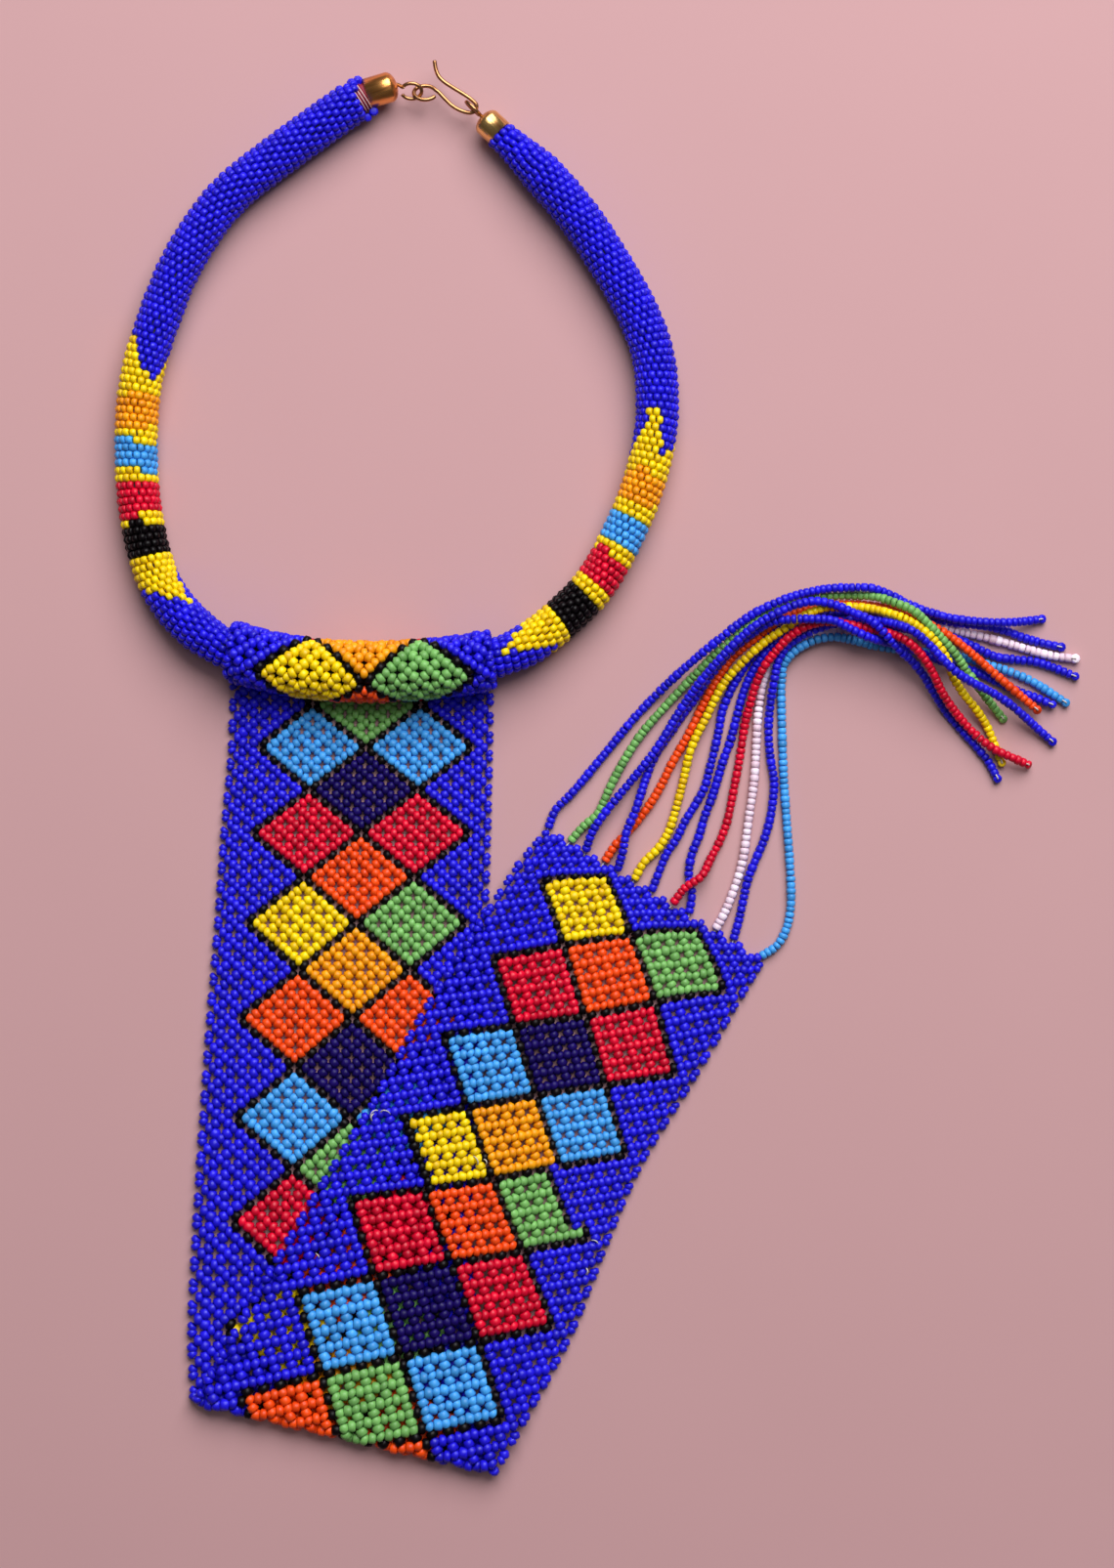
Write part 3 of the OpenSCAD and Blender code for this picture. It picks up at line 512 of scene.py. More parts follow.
class Band:
    """The net as a sheet: places u across and v along become a flat point, which the fold turns over."""

    def __init__(self, context):
        self.collar = Collar(context)
        self.mid = self.collar.bead_r
        rows = np.array(BAND, float)
        self.rows = rows
        self.away = unit(np.subtract(FOLD_RIGHT, FOLD_LEFT))[::-1] * [1, -1]
        self.fold_start = -math.pi * FOLD_R / 2

    def row(self, v):
        """The strip's middle, half widths and turn at row v, on a curve through the table's rows."""
        last = self.rows[-2, 0]
        knot = np.where(v < last, v / BAND_STEP, len(self.rows) - 2 + (v - last) / (LAST_ROW - last))
        return spline(self.rows[:, 1:], np.maximum(knot, 0.0))

    def across(self, row):
        """Directions across the strip, by the cosine and sine of each row's turn."""
        turn = np.radians(row[:, 4])
        return np.column_stack([np.cos(turn), np.sin(turn)])

    def edge(self, side, v):
        """Flat edge of the strip: the middle plus the half width and the rim, across the strip."""
        row = self.row(v)
        half = row[:, 2] if side < 0 else row[:, 3]
        return row[:, :2] + side * (half + BAND_RIM)[:, None] * self.across(row)

    def flat(self, u, v):
        """Flat place of lattice place (u, v).

        The columns are spaced evenly from the middle one to the right rim. To the left rim the share of the
        way is t + k t (t - 1), so that the outermost columns are looser by the share k.
        """
        row = self.row(v)
        lean = np.interp(v, *LEAN)
        share = u / LEFT_RIM
        share = share + np.interp(v, *LOOSE_RIM) * share * (share - 1)
        left = lean - (row[:, 2] + lean) * share
        right = lean + (row[:, 3] - lean) * u / RIGHT_RIM
        return row[:, :2] + np.where(u < 0, left, right)[:, None] * self.across(row)

    def past_fold(self, p):
        """Distance of flat points past the fold's line."""
        return (p - FOLD_LEFT) @ self.away

    def upper_z(self, p):
        """Height of the upper layer's middle: a hump by the fold, and a drop beyond the lower layer."""
        q = -self.past_fold(p)
        stack = 2 * self.mid + LAYER_GAP
        v = np.interp(-p[:, 1], -self.rows[:, 2], self.rows[:, 0])
        beyond = p[:, 0] - self.edge(1, np.clip(v, 0, LOWER_END))[:, 0]
        hump = (2 * FOLD_R - stack) * (1 - smooth(q / SETTLE_LEN))
        return self.mid + (stack + hump) * (1 - smooth((beyond - DROP_START) / DROP_LEN))

    def folded(self, p):
        """Flat points turned over the fold: level, then half a turn of a small roll, then back on top."""
        q = self.past_fold(p)[:, None]
        foot = p - q * self.away
        phi = (q - self.fold_start) / FOLD_R
        rolled = foot + (self.fold_start + FOLD_R * np.sin(phi)) * self.away
        roll_z = self.mid + FOLD_R * (1 - np.cos(phi))
        back = foot - q * self.away
        top_z = self.upper_z(back)[:, None]
        flat = np.hstack([p, np.full_like(q, self.mid)])
        turned = np.where(phi < math.pi, np.hstack([rolled, roll_z]), np.hstack([back, top_z]))
        return np.where(phi <= 0, flat, turned)

    def on_sleeve(self, u, v):
        """Places on the sleeve, round the tube by the angle of their row.

        The angle is measured from the direction half way between the tube's own side and the clasp's.
        """
        s = SLEEVE_S + np.interp(u, [LEFT_RIM, RIGHT_RIM], [-SLEEVE_HALF_W, SLEEVE_HALF_W])
        angle = np.radians(np.interp(v, *SLEEVE_TURN))[:, None]
        lean = unit(self.collar.frame(s)[1] + TOWARDS_CLASP)
        out = np.cos(angle) * lean + np.sin(angle) * UP
        return self.collar.at(s) + self.collar.sleeve_r * out

    def at(self, u, v):
        """Lattice places in space: the sleeve, a level stretch in front of it, and the folded strip."""
        first = np.column_stack([self.flat(u, np.zeros_like(v)), np.full(len(u), self.mid)])
        under = self.on_sleeve(u, np.full(len(v), UNDER_ROW))
        front = mix(first, under, (v / UNDER_ROW)[:, None])
        strip = self.folded(self.flat(u, np.maximum(v, 0.0)))
        above = np.where((v < UNDER_ROW)[:, None], self.on_sleeve(u, v), front)
        return np.where((v < 0)[:, None], above, strip)

    def frame(self, u, v):
        """Directions across and along the net, by places half a step away on both sides."""
        h = 0.5
        return self.at(u + h, v) - self.at(u - h, v), self.at(u, v + h) - self.at(u, v - h)


def linear(code):
    """Light values of an sRGB hex code: the display curve undone for red, green and blue."""
    values = [int(code[k : k + 2], 16) / 255 for k in (0, 2, 4)]
    return tuple(v / 12.92 if v <= 0.04045 else ((v + 0.055) / 1.055) ** 2.4 for v in values)


def length(name, description, mm):
    """A length property whose default is given in millimetres."""
    return FloatProperty(
        name=name, description=description, default=mm * MM, min=0.0, unit="LENGTH", precision=5
    )


def fraction(name, description, default):
    """A property that is a share from 0 to 1."""
    return FloatProperty(
        name=name, description=description, default=default, min=0.0, max=1.0, subtype="FACTOR"
    )


def watts(name, description, default):
    """A lamp's power property in watts."""
    return FloatProperty(name=name, description=description, default=default, min=0.0, unit="POWER")


def colour(name, description, code):
    """A colour property whose default is given as an sRGB hex code."""
    return FloatVectorProperty(
        name=name, description=description, default=linear(code), size=3, min=0.0, max=1.0, subtype="COLOR"
    )


class NecklaceGlass(bpy.types.PropertyGroup):
    """Sizes and glass colours of the seed beads."""

    bead_diameter: length("Bead diameter", "Outside diameter of a seed bead, across its thread", 2.34)
    gloss: fraction("Roughness", "Roughness of the fire-polished glass", 0.36)
    shine: fraction("Shine", "Strength of the highlight on light glass", 0.34)
    dark_shine: fraction("Dark shine", "Strength of the highlight on navy and black", 0.16)
    blue: colour("Blue", "Ground colour of the collar and the band", "1E15D4")
    navy: colour("Navy", "Dark diamonds of the band", "170858")
    sky: colour("Sky", "Light blue diamonds, stripes and one strand", "429CE8")
    yellow: colour("Yellow", "Stripes, diamonds and one strand", "FFCC00")
    amber: colour("Amber", "Yolk-coloured stripes and diamonds", "FF9A06")
    orange: colour("Orange", "Diamonds and one strand", "FF4A0C")
    red: colour("Red", "Stripes, diamonds and one strand", "D2042E")
    green: colour("Green", "Leaf-green diamonds and one strand", "72AC5C")
    black: colour("Black", "Outlines of the diamonds and stripes", "0A0508")
    white: colour("White", "The pinkish white strand", "FFD8EC")


class NecklaceCollar(bpy.types.PropertyGroup):
    """The woven collar tube."""

    tube_diameter: length("Tube diameter", "Thickness of the beaded tube", 11.8)
    bead_diameter: length("Row bead diameter", "Diameter of the tube's closely packed beads", 2.46)
    bead_length: length("Row bead length", "Length of the tube's beads round the tube", 1.84)
    pitch: length("Pitch", "Advance of the one spiral row in each turn", 1.98)
    turn_beads: FloatProperty(
        name="Beads a turn", description="Beads in one turn of the spiral", default=15.5, min=3.0
    )
    core_cover: length("Core depth", "Depth of the cord core under the beads' outside", 1.5)
    # The core's dark colour is painted shade: it makes the gaps between the collar's beads show dark
    core: colour("Core", "Dark cord that shows between the beads", "160B1C")


class NecklaceBand(bpy.types.PropertyGroup):
    """Beads and thread of the net."""

    bead_diameter: length("Net bead diameter", "Diameter of the net's beads, which touch each other", 2.82)
    bead_length: length("Net bead length", "Length of the net's beads along the thread", 1.98)
    thread_diameter: length("Thread diameter", "Thread that the net is sewn with", 0.3)
    thread: colour("Thread", "Beading thread between the beads", "DAD4CF")


class NecklaceFringe(bpy.types.PropertyGroup):
    """The strands."""

    bead_diameter: length("Strand bead diameter", "Diameter of the strands' beads", 2.42)
    spacing: length("Bead spacing", "Average distance from bead to bead along a strand", 1.62)
    tilt: fraction("Tilt", "How far a strand's beads sit askew", 0.06)


class NecklaceEnds(bpy.types.PropertyGroup):
    """Brass and thread of the collar's ends."""

    cap_left: colour("Left cap", "Coppery stamped brass", "EC9654")
    cap_right: colour("Right cap", "Pale stamped brass", "FFB070")
    wire: colour("Wire", "Drawn brass wire of the eyes and the hook", "C48E60")
    eye_wire: length("Eye wire", "Diameter of the eyes' wire", 1.0)
    hook_wire: length("Hook wire", "Diameter of the hook's wire", 1.1)
    binding: colour("Binding", "Dark red cotton wound on the core", "6E1428")
    binding_thread: length("Binding thread", "Diameter of the wound cotton", 0.5)
    pale_thread: length("Pale thread", "Diameter of the pale thread over the binding", 0.26)
    winding: colour("Pale winding", "Pinkish thread wound over the dark red one", "EDC6C2")


class NecklaceStage(bpy.types.PropertyGroup):
    """Floor, light and camera."""

    floor: colour("Floor", "Pale blush surface under the necklace", "C19598")
    key_power: watts("Key light", "Power of the soft light from above the clasp", 38.0)
    ceiling_power: watts("Ceiling light", "Power of the wide light overhead", 5.0)
    sky_power: fraction("Room light", "Strength of the light from all round", 0.09)
    height: length("Camera height", "Distance from the floor to the camera", 900.0)
    level: length("Level", "Height above the floor at which the view height holds", 3.0)
    view_height: length("View height", "Length from the picture's top to its bottom", 417.3)


def add_node(tree, kind, sockets=None, **settings):
    """Adds a node: settings are its own values, and each socket takes a value or another node's output."""
    node = tree.nodes.new(kind)
    for key, value in settings.items():
        setattr(node, key, value)
    for key, value in (sockets or {}).items():
        if isinstance(value, bpy.types.NodeSocket):
            tree.links.new(value, node.inputs[key])
        else:
            node.inputs[key].default_value = value
    return node


def new_material(name):
    """An empty node material."""
    made = bpy.data.materials.new(name)
    made.use_nodes = True
    made.node_tree.nodes.clear()
    return made


def finish_material(made, **sockets):
    """Ends a material with one surface shader; underscores in a socket's name stand for spaces."""
    tree = made.node_tree
    named = {key.replace("_", " "): value for key, value in sockets.items()}
    shader = add_node(tree, "ShaderNodeBsdfPrincipled", named)
    add_node(tree, "ShaderNodeOutputMaterial", {"Surface": shader.outputs["BSDF"]})
    return made


def rgba(rgb, gain):
    """A colour as four values, made brighter or darker by the gain and held to 1."""
    return (*[min(value * gain, 1.0) for value in rgb], 1.0)


def grain(tree, size, detail=2.0, place=None):
    """Noise whose lumps are about size millimetres across, in object coordinates if no place is given."""
    place = place or add_node(tree, "ShaderNodeTexCoord").outputs["Object"]
    sockets = {"Vector": place, "Scale": 1 / (size * MM), "Detail": detail}
    return add_node(tree, "ShaderNodeTexNoise", sockets).outputs["Fac"]


def blend(tree, factor, rgb, darkest, lightest):
    """The colour between its darkest and its lightest gain, by a factor from another node."""
    sockets = {0: factor, 6: rgba(rgb, darkest), 7: rgba(rgb, lightest)}
    return add_node(tree, "ShaderNodeMix", sockets, data_type="RGBA").outputs[2]


def rescaled(tree, value, low, high):
    """A value from 0 to 1 turned into one from low to high, which may also be the smaller one."""
    sockets = {"Value": value, "To Min": low, "To Max": high}
    return add_node(tree, "ShaderNodeMapRange", sockets).outputs["Result"]


def dented(tree, height, strength, depth):
    """A shading direction bent by a height pattern of the given strength and depth in millimetres."""
    sockets = {"Height": height, "Strength": strength, "Distance": depth * MM}
    return add_node(tree, "ShaderNodeBump", sockets).outputs["Normal"]


def fire_polished_glass(name, rgb, roughness, shine):
    """Opaque glass drawn as a tube, cut in beads and tumbled hot.

    The tumbling leaves a glossy skin with one small highlight on each bead, a little uneven. The batches
    differ, so each bead's own tone makes it slightly darker or lighter than its neighbours. The dark glasses
    are duller.
    """
    made = new_material(name)
    tree = made.node_tree
    tone = add_node(tree, "ShaderNodeAttribute", attribute_name="tone").outputs["Fac"]
    body = blend(tree, tone, rgb, darkest=0.7, lightest=1.25)
    ripple = grain(tree, size=0.9)
    uneven = dented(tree, ripple, strength=0.35, depth=0.12)
    skin = rescaled(tree, ripple, low=0.6 * roughness, high=1.5 * roughness)
    return finish_material(made, Base_Color=body, Roughness=skin, Normal=uneven, Specular_IOR_Level=shine)


def stamped_brass(name, rgb, heading):
    """Brass sheet drawn to a cup by a punch and tumbled bright.

    The die leaves soft scores along the cup, which vary its roughness and bumps, and the colour is painted
    lighter and darker in bands that run with its axis: painted reflection streaks.
    """
    made = new_material(name)
    tree = made.node_tree
    place = add_node(tree, "ShaderNodeTexCoord").outputs["Object"]
    drawn = {"Vector": place, "Rotation": (0.0, 0.0, math.radians(heading)), "Scale": (DRAWN_OUT, 1.0, 1.0)}
    along = add_node(tree, "ShaderNodeMapping", drawn, vector_type="TEXTURE").outputs["Vector"]
    marks_and_streaks = grain(tree, size=1.5, detail=3.0, place=along)
    bands = add_node(tree, "ShaderNodeMapRange", {"Value": marks_and_streaks, "From Min": 0.32, "From Max": 0.66})
    band = bands.outputs["Result"]
    # Painted reflection streaks: the colour goes from half to one and a half times the brass's own in bands
    # along the axis
    metal = blend(tree, band, rgb, darkest=0.5, lightest=1.5)
    dull = rescaled(tree, band, low=0.34, high=0.26)
    ribs = dented(tree, band, strength=0.3, depth=0.15)
    return finish_material(made, Base_Color=metal, Metallic=1.0, Roughness=dull, Normal=ribs)


def drawn_wire(name, rgb):
    """Brass wire drawn through a die and bent cold: a soft sheen, browned in places by handling."""
    made = new_material(name)
    tree = made.node_tree
    brown = grain(tree, size=2.4, detail=3.0)
    metal = blend(tree, brown, rgb, darkest=0.42, lightest=1.15)
    dull = rescaled(tree, brown, low=0.38, high=0.2)
    return finish_material(made, Base_Color=metal, Metallic=1.0, Roughness=dull)


def spun_cotton(name, rgb, lightest):
    """Thread spun from cotton and waxed: matt, with a painted sheen that makes it paler in random patches,
    where it would catch the light.
    """
    made = new_material(name)
    tree = made.node_tree
    fibres_and_sheen = grain(tree, size=0.5, detail=4.0)
    # Painted sheen: random patches are made up to the gain brighter than the thread's own colour, others
    # darker
    body = blend(tree, fibres_and_sheen, rgb, darkest=0.55, lightest=lightest)
    nap = dented(tree, fibres_and_sheen, strength=0.5, depth=0.1)
    return finish_material(made, Base_Color=body, Roughness=0.62, Normal=nap)


def painted_board(name, rgb):
    """A matt painted board, almost even: faint clouds in the paint, and no gloss."""
    made = new_material(name)
    tree = made.node_tree
    clouds = grain(tree, size=90.0, detail=3.0)
    body = blend(tree, clouds, rgb, darkest=0.97, lightest=1.02)
    return finish_material(made, Base_Color=body, Roughness=0.8)


def kept(name, make, *look):
    """The material of that name, made with its look the first time it is asked for."""
    return bpy.data.materials.get(name) or make(name, *look)


def glass_material(context, glass):
    """The bead material of one glass."""
    props = context.scene.necklace_glass
    shine = props.dark_shine if glass in DARK_GLASSES else props.shine
    look = getattr(props, glass), props.gloss, shine
    return kept(f"fire-polished glass, {glass}", fire_polished_glass, *look)


def net_thread_material(context):
    """The white thread of the net and the strands."""
    return kept("waxed beading thread", spun_cotton, context.scene.necklace_band.thread, NET_THREAD_SHEEN)


def ring_faces(rows, sides):
    """Faces of a skin of rings: quads from ring to ring, triangles to a point at each end."""
    k = np.arange(sides)
    a = (np.arange(rows - 1)[:, None] * sides + k).ravel()
    b = (np.arange(rows - 1)[:, None] * sides + (k + 1) % sides).ravel()
    quads = np.column_stack([a, b, b + sides, a + sides])
    first, last, after = rows * sides, rows * sides + 1, (k + 1) % sides
    top = (rows - 1) * sides
    start = np.column_stack([np.full(sides, first), after, k])
    end = np.column_stack([np.full(sides, last), top + k, top + after])
    return quads, np.vstack([start, end])


def add_piece(name, points, quads, tris, material, slot, nodes, tone=None):
    """A mesh object at the origin from arrays of millimetre points and faces, which rides the CAD body."""
    if len(points) == 0:
        raise RuntimeError(f"{name} has no surface")
    mesh = bpy.data.meshes.new(name)
    mesh.vertices.add(len(points))
    mesh.vertices.foreach_set("co", (points * MM).astype(np.float32).ravel())
    corners = np.concatenate([quads.ravel(), tris.ravel()])
    mesh.loops.add(len(corners))
    mesh.loops.foreach_set("vertex_index", corners.astype(np.int32))
    starts = np.concatenate([np.arange(len(quads)) * 4, len(quads) * 4 + np.arange(len(tris)) * 3])
    mesh.polygons.add(len(starts))
    mesh.polygons.foreach_set("loop_start", starts.astype(np.int32))
    mesh.update(calc_edges=True)
    mesh.shade_smooth()
    if tone is not None:
        mesh.attributes.new("tone", "FLOAT", "POINT").data.foreach_set("value", tone.astype(np.float32))
    mesh.materials.append(material)
    piece = bpy.data.objects.new(name, mesh)
    bpy.context.scene.collection.objects.link(piece)
    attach(piece, "root")
    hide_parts(*nodes)
    return piece


def turned(profile, sides):
    """A profile turned about its axis: each radius goes round by cosine and sine, the ends are points."""
    rows = np.array(profile[1:-1])
    angle = full_turn(sides)
    along = np.repeat(rows[:, 0], sides)
    sideways = np.outer(rows[:, 1], np.cos(angle)).ravel()
    upwards = np.outer(rows[:, 1], np.sin(angle)).ravel()
    rings = np.column_stack([along, sideways, upwards])
    ends = [[profile[0][0], 0, 0], [profile[-1][0], 0, 0]]
    return np.vstack([rings, ends]), *ring_faces(len(rows), sides)


def strays(rng, count):
    """Random numbers around 0, none beyond the limit."""
    return np.clip(rng.normal(size=count), -STRAY, STRAY)


class Copies:
    """Turned solids: each has a centre, an axis, an outward direction, half a length and a radius.

    Each axis is tipped at random by the share askew, and each size strays by the share uneven.
    """

    def __init__(self, centre, axis, outward, half_length, radius, rng, askew=0.04, uneven=0.04):
        count = len(centre)
        self.centre = centre
        self.axis = unit(unit(axis) + askew * rng.normal(size=(count, 3)))
        self.outward = outward
        stretch = 1 + LENGTH_UNEVEN * uneven * strays(rng, count)
        swell = radius * (1 + uneven * strays(rng, count))
        self.size = np.column_stack([half_length * stretch, swell, swell])
        self.tone = np.clip(TONE[0] + TONE[1] * rng.normal(size=count), 0, 1)

    def mesh(self, profile, sides, chosen=None):
        """Points, faces and tones of the chosen copies: the solid scaled, set on its axis and moved."""
        keep = np.arange(len(self.centre)) if chosen is None else np.flatnonzero(chosen)
        solid, quads, tris = turned(profile, sides)
        axis = self.axis[keep]
        side = unit(np.cross(self.outward[keep], axis))
        frame = np.stack([axis, side, np.cross(axis, side)], axis=1)
        points = self.centre[keep, None] + (solid * self.size[keep, None]) @ frame
        shift = (np.arange(len(keep)) * len(solid))[:, None, None]
        return (
            points.reshape(-1, 3),
            (quads + shift).reshape(-1, 4),
            (tris + shift).reshape(-1, 3),
            np.repeat(self.tone[keep], len(solid)),
        )


def add_beads(context, stem, beads, glass, nodes, profile=BEAD_PROFILE):
    """One piece for each glass among the beads."""
    for k, name in enumerate(GLASSES):
        chosen = glass == k
        if not chosen.any():
            continue
        points, quads, tris, tone = beads.mesh(profile, BEAD_SIDES, chosen)
        material = glass_material(context, name)
        add_piece(f"{stem}_{name}", points, quads, tris, material, f"bead_{name}", nodes, tone)


def swept(path, radii, sides, reference):
    """A round bar along a path: ring points are radius times cosine sideways and sine upwards, ends closed.

    Sideways is the reference direction crossed with the path's own direction.
    """
    along = unit(np.gradient(path, axis=0))
    side = unit(np.cross(reference, along))
    up = np.cross(along, side)
    angle = full_turn(sides)
    round_by = np.cos(angle)[None, :, None] * side[:, None] + np.sin(angle)[None, :, None] * up[:, None]
    rings = path[:, None] + radii[:, None, None] * round_by
    points = np.vstack([rings.reshape(-1, 3), path[:1], path[-1:]])
    return points, *ring_faces(len(path), sides)


def joined(parts):
    """Several skins as one: points put in a row, and each skin's faces moved on by the points before it."""
    shift = np.cumsum([0] + [len(part[0]) for part in parts[:-1]])
    points = np.vstack([part[0] for part in parts])
    quads = np.vstack([part[1] + k for part, k in zip(parts, shift)])
    tris = np.vstack([part[2] + k for part, k in zip(parts, shift)])
    return points, quads, tris


def spiral_places(collar, props):
    """Bead places of the collar's one spiral row.

    The beads in a turn grow with the tube's radius, so their number is the sum of that count over the turns.
    A bead sits at each whole number, at the angle that the turns have reached there.
    """
    s = np.linspace(BINDING_LEN + FIRST_BEAD, COLLAR_CURVE.length - END_IN, SPIRAL_STEPS)
    bead_r = half_mm(props.bead_diameter)
    pitch = props.pitch / MM
    per_turn = props.turn_beads * (collar.radius(s) - bead_r) / (collar.r - bead_r)
    count = np.append(0.0, np.cumsum((per_turn[1:] + per_turn[:-1]) / 2 * np.diff(s) / pitch))
    place = np.interp(np.arange(int(count[-1])), count, s)
    angle = (SPIRAL_START - 360 * place / pitch) % 360
    hidden = np.abs(place - SLEEVE_S) < SLEEVE_HALF_W - UNDER_SLEEVE
    return place[~hidden], angle[~hidden]


def stripe_glass(s, angle):
    """Glass of the collar's beads: the number of stripe edges that a bead lies past names its stripe."""
    passed = sum((s >= np.interp(angle, *np.transpose(edge), period=360)).astype(int) for _, edge in STRIPES)
    return np.array([GLASSES.index(glass) for glass, _ in STRIPES])[passed - 1]


def soft_light(name, place, size, power):
    """A round area light that looks at the middle of the floor."""
    data = bpy.data.lights.new(name, "AREA")
    data.shape = "DISK"
    data.size = size * MM
    data.energy = power
    lamp = bpy.data.objects.new(name, data)
    lamp.location = place
    lamp.rotation_euler = (-lamp.location).to_track_quat("-Z", "Y").to_euler()
    return lamp


class NECKLACE_OT_stage(bpy.types.Operator):
    """Lay the pale floor, hang the soft light and set the camera straight above"""

    bl_idname = "necklace.stage"
    bl_label = "Stage"

    def execute(self, context):
        props = context.scene.necklace_stage
        corners = FLOOR_REACH * MM * np.array([[-1, -1, 0], [1, -1, 0], [1, 1, 0], [-1, 1, 0]])
        mesh = bpy.data.meshes.new("floor")
        mesh.from_pydata(corners.tolist(), [], [(0, 1, 2, 3)])
        mesh.materials.append(painted_board("matt painted board", props.floor))
        floor = bpy.data.objects.new("floor", mesh)
        lamps = [
            soft_light("key", KEY_AT, KEY_SIZE, props.key_power),
            soft_light("ceiling", CEILING_AT, CEILING_SIZE, props.ceiling_power),
        ]
        camera = bpy.data.objects.new("camera", bpy.data.cameras.new("camera"))
        camera.location = (CAMERA_OVER[0] * MM, CAMERA_OVER[1] * MM, props.height)
        camera.data.sensor_width = CAMERA_SENSOR
        camera.data.lens = CAMERA_SENSOR * (props.height - props.level) / props.view_height
        camera.data.clip_end = CAMERA_FAR
        for item in (floor, camera, *lamps):
            context.scene.collection.objects.link(item)
        context.scene.camera = camera
        world = bpy.data.worlds.new("room")
        world.use_nodes = True
        background = world.node_tree.nodes["Background"]
        background.inputs["Color"].default_value = ROOM_WHITE
        background.inputs["Strength"].default_value = props.sky_power
        context.scene.world = world
        context.scene.view_settings.view_transform = "Standard"
        return {"FINISHED"}


class NECKLACE_OT_collar(bpy.types.Operator):
    """Weave the collar: a cord core and one spiral row of seed beads round it, striped on both sides"""

    bl_idname = "necklace.collar"
    bl_label = "Collar tube"

    def execute(self, context):
        props = context.scene.necklace_collar
        collar = Collar(context)
        rng = np.random.default_rng(COLLAR_SEED)
        s = np.linspace(BINDING_LEN + CORE_START, COLLAR_CURVE.length - END_IN, CORE_RINGS)
        core = swept(collar.at(s), collar.radius(s) - props.core_cover / MM, CORE_SIDES, UP)
        # The core is coloured dark so that the gaps between the beads show dark: painted shade
        cord = spun_cotton("dark cord core", props.core, CORD_SHEEN)
        add_piece("collar_core", *core, cord, "binding_thread", ["collar_tube"])
        place, angle = spiral_places(collar, props)
        crowd = np.array(CROWD)
        angle, place, reach = np.vstack([crowd, np.column_stack([angle, place, collar.radius(place)])]).T
        turn = np.radians(angle)[:, None]
        _, side, up = collar.frame(place)
        out = np.cos(turn) * side + np.sin(turn) * up
        depth = half_mm(props.bead_diameter)
        centre = collar.at(place) + (reach - depth)[:, None] * out
        around = np.cos(turn) * up - np.sin(turn) * side
        beads = Copies(centre, around, out, half_mm(props.bead_length), depth, rng)
        add_beads(context, "collar_beads", beads, stripe_glass(place, angle), ["collar_tube"], ROUND_PROFILE)
        return {"FINISHED"}


def lattice(first_row, last_row):
    """Lattice places of the net's beads between two rows, with the kind of each.

    A place is a pair of whole numbers (i, j) with u = i + j and v = j - i. Two odd numbers make a junction
    bead, which lies across the strip. One odd and one even number make a bead on a thread between two
    junctions. Two even numbers are a hole.
    """
    u, v = np.meshgrid(np.arange(LEFT_RIM, RIGHT_RIM + 1), np.arange(first_row, last_row + 1))
    even = (u + v) % 2 == 0
    u, v = u[even], v[even]
    i, j = (u - v) // 2, (u + v) // 2
    there = (i % 2 == 1) | (j % 2 == 1)
    return u[there], v[there], i[there], j[there]


def net_glass(i, j):
    """Glass of the net's beads: diamonds ten beads wide, outlined in black where they border on blue."""
    blue, black = GLASSES.index("blue"), GLASSES.index("black")
    singles = {row: (glass, glass) for row, glass in SINGLES}
    pairs = {row: glasses for row, *glasses in PAIRS}
    # Rows in steps of one diamond, from before the net's first row to past its last
    rows = np.arange(-6 * DIAMOND, LAST_ROW + 2 * DIAMOND, DIAMOND)
    table = np.full((3, len(rows)), -1)
    for k, row in enumerate(rows):
        if row in singles:
            table[1, k] = GLASSES.index(singles[row][0])
        if row in pairs:
            table[0, k] = GLASSES.index(pairs[row][0])
            table[2, k] = GLASSES.index(pairs[row][1])

    def cell(ci, cj):
        """Glass of the diamond in cell (ci, cj), or -1 where there is none."""
        column = ci + cj + 2
        k = (DIAMOND * (cj - ci) - rows[0]) // DIAMOND
        inside = (column >= 0) & (column <= 2) & (k >= 0) & (k < len(rows))
        return np.where(inside, table[np.clip(column, 0, 2), np.clip(k, 0, len(rows) - 1)], -1)

    on_i, on_j = i % DIAMOND == 0, j % DIAMOND == 0
    ci, cj = i // DIAMOND, j // DIAMOND
    own = cell(ci, cj)
    beside = cell(ci - on_i, cj - on_j)
    bordered = (own >= 0) | (beside >= 0)
    inner = np.where(own >= 0, own, blue)
    glass = np.where(on_i | on_j, np.where(bordered, black, blue), inner)
    for first_i, last_i, first_j, last_j, name in SLIPS:
        slip = (i >= first_i) & (i <= last_i) & (j >= first_j) & (j <= last_j)
        glass[slip] = GLASSES.index(name)
    return glass


